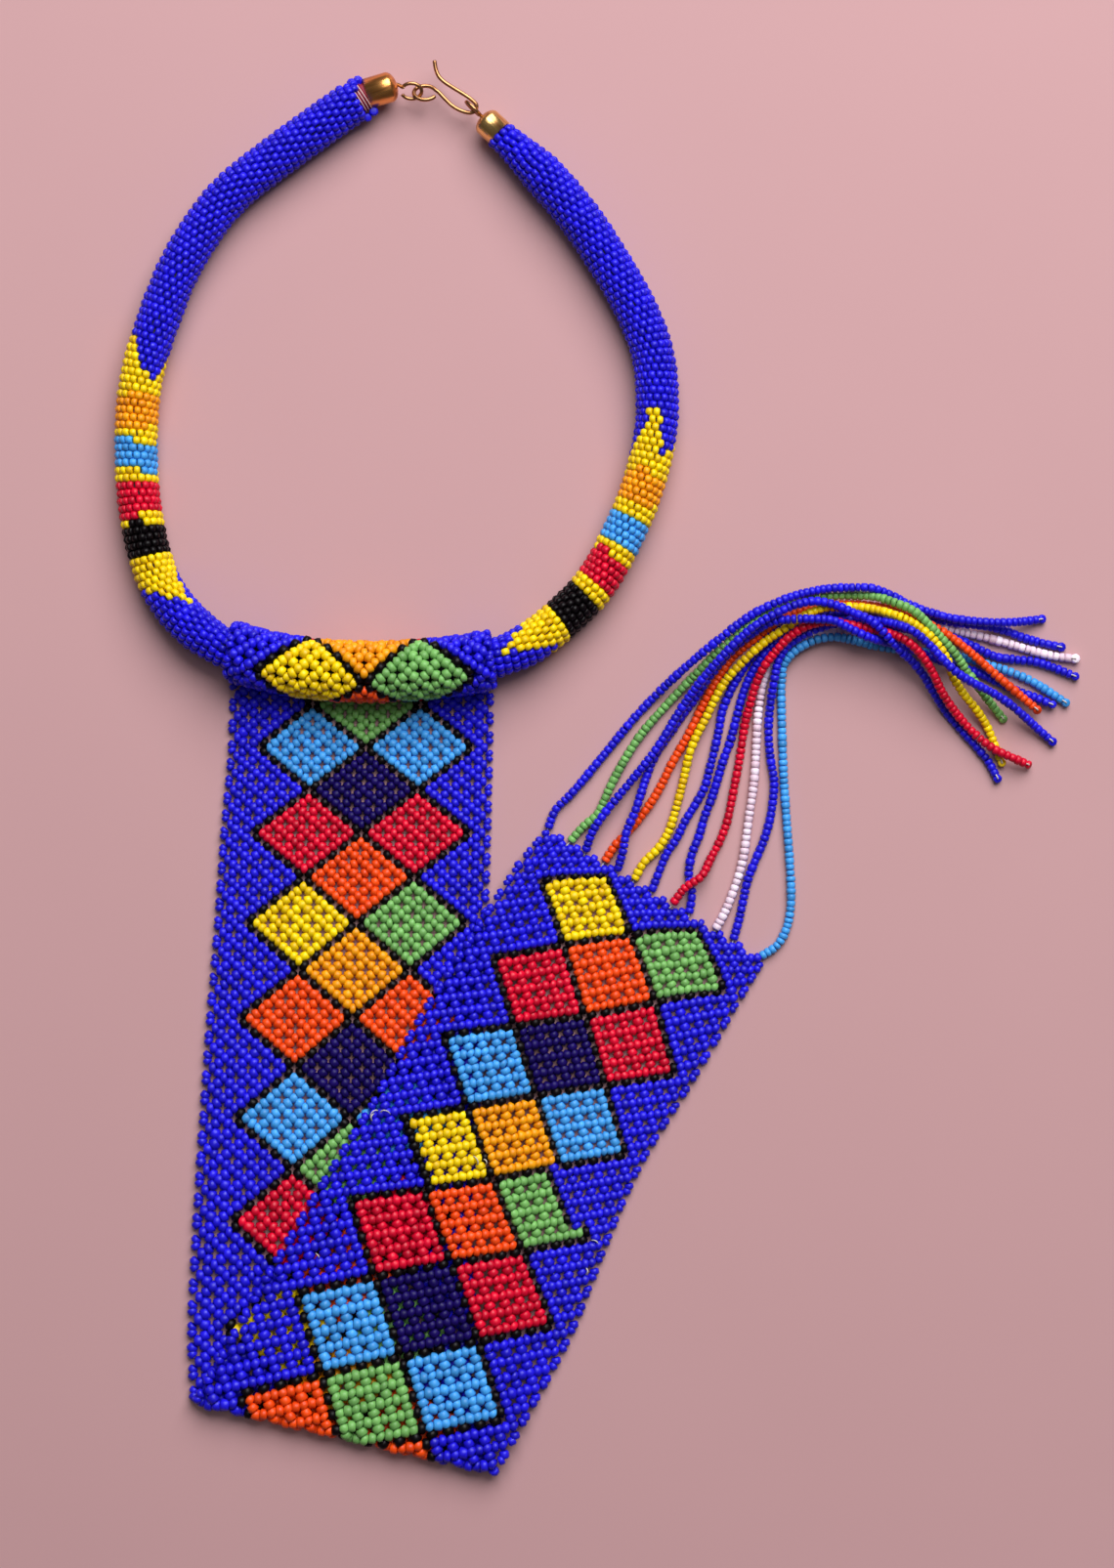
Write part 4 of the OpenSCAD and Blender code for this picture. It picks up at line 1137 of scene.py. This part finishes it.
def net_beads(context, band, first_row, last_row, rng):
    """Beads and thread pieces of the net between two rows, and the beads' glass.

    A junction bead lies across the net. A bead on a thread leans towards the slant of its thread, which is
    one step across and one along, or one back.
    """
    props = context.scene.necklace_band
    u, v, i, j = lattice(first_row, last_row)
    glass = net_glass(i, j)
    junction = (i % 2 == 1) & (j % 2 == 1)
    rim = (u == LEFT_RIM) | (u == RIGHT_RIM)
    # On the rims the thread turns back, and its two beads there draw together round a row of their own
    phase = np.where(u == RIGHT_RIM, RIM_PERIOD // 2, 0)
    turn_row = RIM_PERIOD * np.round((v - phase) / RIM_PERIOD) + phase
    after = np.sign(v - turn_row)
    v = np.where(rim, turn_row + RIM_DRAWN * after, v)
    u = u.astype(float)
    lean = np.where(i % 2 == 1, 1.0, -1.0)[:, None]
    kind = np.where(rim, 2, np.where(junction, 0, 1))
    across, along = band.frame(u, v)
    back = along - RIM_FAN * (after * np.sign(u))[:, None] * across
    strung = across + lean * along
    axis = np.choose(kind[:, None], [across, across + BEAD_LEAN * lean * along, back])
    outward = unit(np.cross(across, along))
    # The beads on the threads ride a little above the ones at the junctions, and none lies quite level
    ride = np.where(kind == 1, NET_RIDE, -NET_RIDE) + NET_JITTER * rng.normal(size=len(u))
    centre = band.at(u, v) + ride[:, None] * outward
    # Where the net is looser its beads are the bigger ones of the batch, and the reverse where it is tight
    cell = np.sqrt(np.linalg.norm(across, axis=1) * np.linalg.norm(along, axis=1)) / NET_CELL
    grown = np.clip(cell, *NET_BATCH) * np.where(rim, RIM_SMALL, 1.0)
    radius = grown * half_mm(props.bead_diameter)
    # No bead's middle lies lower than its radius, so the net rests on the floor
    centre[:, 2] = np.maximum(centre[:, 2], radius)
    beads = Copies(centre, axis, outward, grown * half_mm(props.bead_length), radius, rng)
    on = kind == 1
    thread_r = half_mm(props.thread_diameter)
    thread = Copies(centre[on], strung[on], outward[on], THREAD_HALF, thread_r, rng, askew=0.0, uneven=0.0)
    return beads, thread, glass


def add_net(context, stem, rows, node, seed):
    """Beads and thread of the net from the first to the last of the two rows."""
    beads, thread, glass = net_beads(context, Band(context), *rows, np.random.default_rng(seed))
    add_beads(context, f"{stem}_beads", beads, glass, [node])
    points, quads, tris, _ = thread.mesh(THREAD_PROFILE, THREAD_SIDES)
    cotton = net_thread_material(context)
    add_piece(f"{stem}_thread", points, quads, tris, cotton, "net_thread", [node])


class NECKLACE_OT_sleeve(bpy.types.Operator):
    """Wrap the band's end round the front of the tube"""

    bl_idname = "necklace.sleeve"
    bl_label = "Sleeve"

    def execute(self, context):
        rows = int(SLEEVE_TURN[0][0]), int(UNDER_ROW) - 1
        add_net(context, "sleeve", rows, "collar_sleeve", SLEEVE_SEED)
        return {"FINISHED"}


class NECKLACE_OT_band(bpy.types.Operator):
    """Bead the net band with its diamonds, and fold it over"""

    bl_idname = "necklace.band"
    bl_label = "Net band"

    def execute(self, context):
        add_net(context, "band", (int(UNDER_ROW), LAST_ROW), "beaded_panel", BAND_SEED)
        return {"FINISHED"}


def attached(band, share):
    """Place on the floor plan where a strand leaves the band's end, a small gap beyond its edge."""
    ends = [band.folded(band.edge(side, np.array([float(LAST_ROW)])))[0, :2] for side in (-1, 1)]
    d = unit(ends[1] - ends[0])
    return mix(ends[0], ends[1], share) + ATTACH_GAP * np.array([-d[1], d[0]])


def height_over(points, laid):
    """Height that the laid strands ask of points above them, as a round strand resting on round strands."""
    need = np.full(len(points), STRAND_D / 2)
    for path in laid:
        a, d = path[:-1], np.diff(path, axis=0)
        w = points[:, None] - a[None, :, :2]
        t = np.clip((w * d[:, :2]).sum(-1) / (d[:, :2] ** 2).sum(-1), 0, 1)
        gap = np.linalg.norm(w - t[..., None] * d[:, :2], axis=-1)
        lift = a[:, 2] + t * d[:, 2] + np.sqrt(np.maximum(STRAND_PITCH**2 - gap**2, 0))
        need = np.maximum(need, np.where(gap < STRAND_PITCH, lift, 0).max(axis=1))
    return need


def draped(band, share, route, laid):
    """Path of a strand laid over earlier ones.

    The height asked for is the most within one ring each way, and it falls away no steeper than the slope.
    """
    curve = Curve([attached(band, share), *route], chords=4)
    n, m = STRAND_RINGS, CHECKS_PER_RING
    flat = curve.at(curve.length * np.arange(n + 1) / n)
    checks = np.arange(n * m + 1) / m
    fine = np.column_stack([np.interp(checks, np.arange(n + 1), flat[:, k]) for k in (0, 1)])
    need = np.pad(height_over(fine, laid), m, constant_values=0.0)
    held = np.lib.stride_tricks.sliding_window_view(need, 2 * m + 1)[::m].max(axis=1)
    ring = np.arange(n + 1)
    fall = STRAND_SLOPE * np.linalg.norm(flat[1] - flat[0]) * np.abs(ring[:, None] - ring)
    return np.column_stack([flat, (held - fall).max(axis=1)])


def laid_strands(band, column):
    """Paths of all strands, laid one after the other in the order of that column of the table."""
    paths = {}
    for k in sorted(range(len(FRINGE)), key=lambda k: FRINGE[k][column]):
        _, _, _, share, route = FRINGE[k]
        paths[k] = draped(band, share, route, list(paths.values()))
    return paths


class NECKLACE_OT_tails(bpy.types.Operator):
    """Leave the short ends of thread that stick out of the net"""

    bl_idname = "necklace.tails"
    bl_label = "Thread ends"

    def execute(self, context):
        band = Band(context)
        parts = []
        for place, heading, reach, curl in TAILS:
            t = np.linspace(0, 1, TAIL_POINTS)
            # The heading turns along the tail, by half a turn times the curl, and the tail rises and falls
            # as half a sine wave
            turn = math.radians(heading) + curl * math.pi * t
            flat = np.array(place) + reach * np.column_stack([t * np.cos(turn), t * np.sin(turn)])
            z = band.upper_z(np.array([place]))[0] + half_mm(context.scene.necklace_band.bead_diameter)
            line = np.column_stack([flat, z - TAIL_SUNK + TAIL_RISE * np.sin(math.pi * t)])
            parts.append(swept(line, KNOT_THREAD * (1 - TAIL_TAPER * t), KNOT_SIDES, UP))
        add_piece("net_tails", *joined(parts), net_thread_material(context), "net_thread", ["beaded_panel"])
        return {"FINISHED"}


class NECKLACE_OT_fringe(bpy.types.Operator):
    """Lay the twelve strands over each other in their order"""

    bl_idname = "necklace.fringe"
    bl_label = "Fringe"

    def execute(self, context):
        props = context.scene.necklace_fringe
        band = Band(context)
        radius = half_mm(props.bead_diameter)
        spacing = props.spacing / MM
        near, beyond = laid_strands(band, 1), laid_strands(band, 2)
        for k, (glass, *_) in enumerate(FRINGE, start=1):
            rng = np.random.default_rng(FRINGE_SEED + k)
            path = near[k - 1]
            changed = smooth((path[:, 0] - BEND_X[0]) / (BEND_X[1] - BEND_X[0]))
            path[:, 2] = mix(path[:, 2], beyond[k - 1][:, 2], changed) + radius - STRAND_D / 2
            curve = Curve(path, chords=8)
            # Bead lengths differ, and each bead starts where the one before it ends
            lengths = spacing * (1 + STRAND_UNEVEN * strays(rng, int(curve.length / spacing)))
            s = np.cumsum(lengths) - lengths / 2
            # A bead that would reach to the strand's end or past it is left off
            on_curve = s < curve.length - spacing / 2
            lengths, s = lengths[on_curve], s[on_curve]
            # A bead lies along the line between the places half a millimetre to each side of its middle
            along = curve.at(s + 0.5) - curve.at(s - 0.5)
            centre = curve.at(s)
            outward = np.cross(along, np.cross(UP, along))
            # The last bead stops the thread: it sits beyond the row with its hole upwards
            ahead = unit(along[-1])
            stop = centre[-1] + (lengths[-1] / 2 + STOP_SHIFT * radius) * ahead
            stop_axis = UP + STOP_LEAN * ahead + STOP_ASKEW * rng.normal(size=3)
            centres, axes = np.vstack([centre, stop]), np.vstack([along, stop_axis])
            halves = np.append(lengths, spacing) / 2
            beads = Copies(centres, axes, np.vstack([outward, ahead]), halves, radius, rng, props.tilt)
            points, quads, tris, tone = beads.mesh(BEAD_PROFILE, BEAD_SIDES)
            node = f"fringe_strand_{k:02d}"
            material = glass_material(context, glass)
            add_piece(f"strand_beads_{k:02d}", points, quads, tris, material, f"bead_{glass}", [node], tone)
            edge = centre[-1] + lengths[-1] / 2 * ahead
            rise = np.multiply(KNOT_RISE, [radius, radius, spacing, spacing])
            knot = np.array([centre[-1], edge, stop, stop]) + rise[:, None] * UP
            link = [path[0] - LINK_LEN * unit(along[0]), path[0], centre[0]]
            reference = unit(np.cross(UP, ahead) + OFF_PLANE)
            parts = []
            for line in (fine(knot, KNOT_STEPS), fine(link, KNOT_STEPS)):
                parts.append(swept(line, np.full(len(line), KNOT_THREAD), KNOT_SIDES, reference))
            cotton = net_thread_material(context)
            add_piece(f"strand_thread_{k:02d}", *joined(parts), cotton, "net_thread", [node])
        return {"FINISHED"}


def level(heading):
    """The level direction at a heading in degrees from +X, by its cosine and sine."""
    turn = math.radians(heading)
    return np.array([math.cos(turn), math.sin(turn), 0.0])


def cap_point(cap, depth, z):
    """A point on an end cap's axis at a depth from its mouth."""
    (x, y), heading, _, _ = cap
    return np.array([x, y, z]) + depth * level(heading)


def cup(cap, z, hole):
    """A thin cup with a domed end: its wall's outline, out and back inside, turned about its axis."""
    _, heading, diameter, cap_len = cap
    dome = diameter * CAP_DOME
    quarter = np.radians(np.linspace(0, 90, CAP_RINGS))

    def wall(r, rise):
        """A quarter of an ellipse from the wall to the dome's middle, stopped at the wire's hole."""
        depth = cap_len - dome + rise * np.sin(quarter)
        return np.column_stack([depth, np.maximum(r * np.cos(quarter), hole)])

    outer = wall(diameter / 2, dome)
    inner = wall(diameter / 2 - CAP_WALL, dome - CAP_WALL)[::-1]
    across = np.array([diameter / 2 - CAP_WALL, diameter / 2 - CAP_WALL / 2, diameter / 2])
    lip = np.column_stack([[CAP_LIP, 0.0, CAP_LIP], across])
    outline = np.vstack([lip, outer, inner])
    angle = full_turn(CAP_SIDES)
    ahead = level(heading)
    side = np.cross(UP, ahead)
    rings = (
        outline[:, 0, None, None] * ahead
        + outline[:, 1, None, None] * (np.cos(angle)[:, None] * side + np.sin(angle)[:, None] * UP)
    )
    rows = len(outline)
    k, after = np.arange(CAP_SIDES), (np.arange(CAP_SIDES) + 1) % CAP_SIDES
    row = np.arange(rows)[:, None] * CAP_SIDES
    next_row = (np.arange(rows)[:, None] + 1) % rows * CAP_SIDES
    quads = np.stack([row + k, row + after, next_row + after, next_row + k], axis=-1)
    return rings.reshape(-1, 3) + cap_point(cap, 0, z), quads.reshape(-1, 4), np.zeros((0, 3), int)


class NECKLACE_OT_caps(bpy.types.Operator):
    """Put the brass cups on the collar's ends"""

    bl_idname = "necklace.caps"
    bl_label = "End caps"

    def execute(self, context):
        props = context.scene.necklace_ends
        z = Collar(context).r
        hole = half_mm(props.eye_wire) + CAP_ROOM
        left = stamped_brass("stamped brass, coppery", props.cap_left, LEFT_CAP[1])
        right = stamped_brass("stamped brass, bright", props.cap_right, RIGHT_CAP[1])
        add_piece("cap_left", *cup(LEFT_CAP, z, hole), left, "cap_brass", ["left_end_cap"])
        add_piece("cap_right", *cup(RIGHT_CAP, z, hole), right, "cap_brass", ["right_end_cap"])
        return {"FINISHED"}


def oval(centre, a, b, u, v, turn):
    """Part of an oval: the centre plus a times cosine along u and b times sine along v."""
    t = np.radians(np.linspace(*turn, WIRE_STEPS))[:, None]
    return np.asarray(centre) + a * np.cos(t) * u + b * np.sin(t) * v


def fine(path, per):
    """A path with more points, on the curve through its points."""
    points = np.asarray(path, float)
    return spline(points, np.arange((len(points) - 1) * per + 1) / per)


def wire(path, radius, reference):
    """A wire with its two cut ends slightly rounded off."""
    radii = np.full(len(path), radius)
    radii[[0, -1]] *= WIRE_TIP
    return swept(path, radii, WIRE_SIDES, reference)


class NECKLACE_OT_clasp(bpy.types.Operator):
    """Bend the two wire eyes and the hook"""

    bl_idname = "necklace.clasp"
    bl_label = "Eyes and hook"

    def execute(self, context):
        props = context.scene.necklace_ends
        z = Collar(context).r
        brass = drawn_wire("drawn brass wire", props.wire)
        eye_r, hook_r = half_mm(props.eye_wire), half_mm(props.hook_wire)
        tilt = math.radians(LOOP_TILT)
        leaning = np.array([0.0, math.cos(tilt), math.sin(tilt)])
        stem = [cap_point(LEFT_CAP, LEFT_CAP[3] + d, z) for d in LEFT_STEM]
        ring = oval(*LEFT_EYE, RIGHT, leaning, LEFT_TURN)
        left = fine(np.vstack([stem, ring]), 3)
        add_piece("eye_left", *wire(left, eye_r, UP), brass, "wire_brass", ["left_eye"])
        ahead = level(RIGHT_CAP[1])
        stem = [cap_point(RIGHT_CAP, RIGHT_CAP[3] + d, z) for d in RIGHT_STEM]
        middle = cap_point(RIGHT_CAP, RIGHT_CAP[3] + RIGHT_EYE_OUT + RIGHT_EYE[0], z)
        ring = oval(middle, *RIGHT_EYE, ahead, UP, RIGHT_TURN)
        right = fine(np.vstack([stem, ring]), 3)
        across = np.cross(UP, ahead)
        add_piece("eye_right", *wire(right, eye_r, across), brass, "wire_brass", ["right_eye"])
        backward = np.array([0.0, math.cos(tilt), -math.sin(tilt)])
        loop = oval(*HOOK_LOOP, RIGHT, backward, LOOP_TURN)
        hook = np.vstack([fine(loop, 2), fine(HOOK, 8)])
        add_piece("hook", *wire(hook, hook_r, UP), brass, "wire_brass", ["clasp_hook"])
        return {"FINISHED"}


def coil(collar, first, last, turns, reach, thread_r):
    """A thread wound round the collar: its angle grows evenly as the place goes from first to last.

    The thread's middle stays at the reach from the collar's middle line.
    """
    s = np.linspace(first, last, turns * COIL_STEPS)
    along, side, up = collar.frame(s)
    a = (2 * math.pi * np.arange(len(s)) / COIL_STEPS)[:, None]
    winding = collar.at(s) + reach * (np.cos(a) * side + np.sin(a) * up)
    return swept(winding, np.full(len(s), thread_r), COIL_SIDES, along[len(along) // 2])


class NECKLACE_OT_binding(bpy.types.Operator):
    """Wind the dark red cotton on the bare core at the left cap"""

    bl_idname = "necklace.binding"
    bl_label = "Thread binding"

    def execute(self, context):
        props = context.scene.necklace_ends
        collar = Collar(context)
        thread_r = half_mm(props.binding_thread)
        cotton = spun_cotton("wound red cotton", props.binding, BINDING_SHEEN)
        inside = [cap_point(LEFT_CAP, d, collar.r) for d in BARE_IN]
        path = np.vstack([inside, collar.at(np.array(BARE_ON))])
        in_cap, wound = LEFT_CAP[2] / 2 - CAP_WALL - BARE_ROOM, BINDING_D / 2 - thread_r
        core = swept(path, np.array([in_cap, in_cap, wound, wound]), BARE_SIDES, UP)
        red = coil(collar, *RED_WOUND, wound, thread_r)
        add_piece("binding_winding", *joined([core, red]), cotton, "binding_thread", ["end_binding"])
        # Pale lines over the red binding, drawn as a thin coil of the pale colour
        pale = spun_cotton("pale winding thread", props.winding, PALE_SHEEN)
        thin_r = half_mm(props.pale_thread)
        spaced = coil(collar, *PALE_WOUND, BINDING_D / 2 + PALE_RIDE * thin_r, thin_r)
        add_piece("binding_pale", *spaced, pale, "binding_thread", ["end_binding"])
        return {"FINISHED"}


class NECKLACE_PT_sidebar(bpy.types.Panel):
    """The necklace's steps and settings"""

    bl_idname = "NECKLACE_PT_sidebar"
    bl_label = "Beaded necklace"
    bl_space_type = "VIEW_3D"
    bl_region_type = "UI"
    bl_category = "Necklace"

    def draw(self, context):
        """One button for each step, and one box for each group of settings."""
        layout = self.layout
        for step in STEPS:
            layout.operator(step.bl_idname)
        for name, _ in GROUPS:
            group = getattr(context.scene, name)
            box = layout.box()
            for key in group.__annotations__:
                box.prop(group, key)


GROUPS = [
    ("necklace_glass", NecklaceGlass),
    ("necklace_collar", NecklaceCollar),
    ("necklace_band", NecklaceBand),
    ("necklace_fringe", NecklaceFringe),
    ("necklace_ends", NecklaceEnds),
    ("necklace_stage", NecklaceStage),
]
STEPS = [
    NECKLACE_OT_stage,
    NECKLACE_OT_collar,
    NECKLACE_OT_binding,
    NECKLACE_OT_caps,
    NECKLACE_OT_clasp,
    NECKLACE_OT_sleeve,
    NECKLACE_OT_band,
    NECKLACE_OT_tails,
    NECKLACE_OT_fringe,
]


def register():
    """Adds the classes to Blender, and hangs each group of settings on the scene."""
    for name, group in GROUPS:
        bpy.utils.register_class(group)
        setattr(bpy.types.Scene, name, PointerProperty(type=group))
    for item in (*STEPS, NECKLACE_PT_sidebar):
        bpy.utils.register_class(item)


def unregister():
    """Takes the classes and the settings away again, the last one first."""
    for item in reversed((*STEPS, NECKLACE_PT_sidebar)):
        bpy.utils.unregister_class(item)
    for name, group in reversed(GROUPS):
        delattr(bpy.types.Scene, name)
        bpy.utils.unregister_class(group)


def main():
    """Registers the add-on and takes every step."""
    register()
    bpy.ops.necklace.stage()
    bpy.ops.necklace.collar()
    bpy.ops.necklace.binding()
    bpy.ops.necklace.caps()
    bpy.ops.necklace.clasp()
    bpy.ops.necklace.sleeve()
    bpy.ops.necklace.band()
    bpy.ops.necklace.tails()
    bpy.ops.necklace.fringe()


if __name__ == "__main__":
    main()
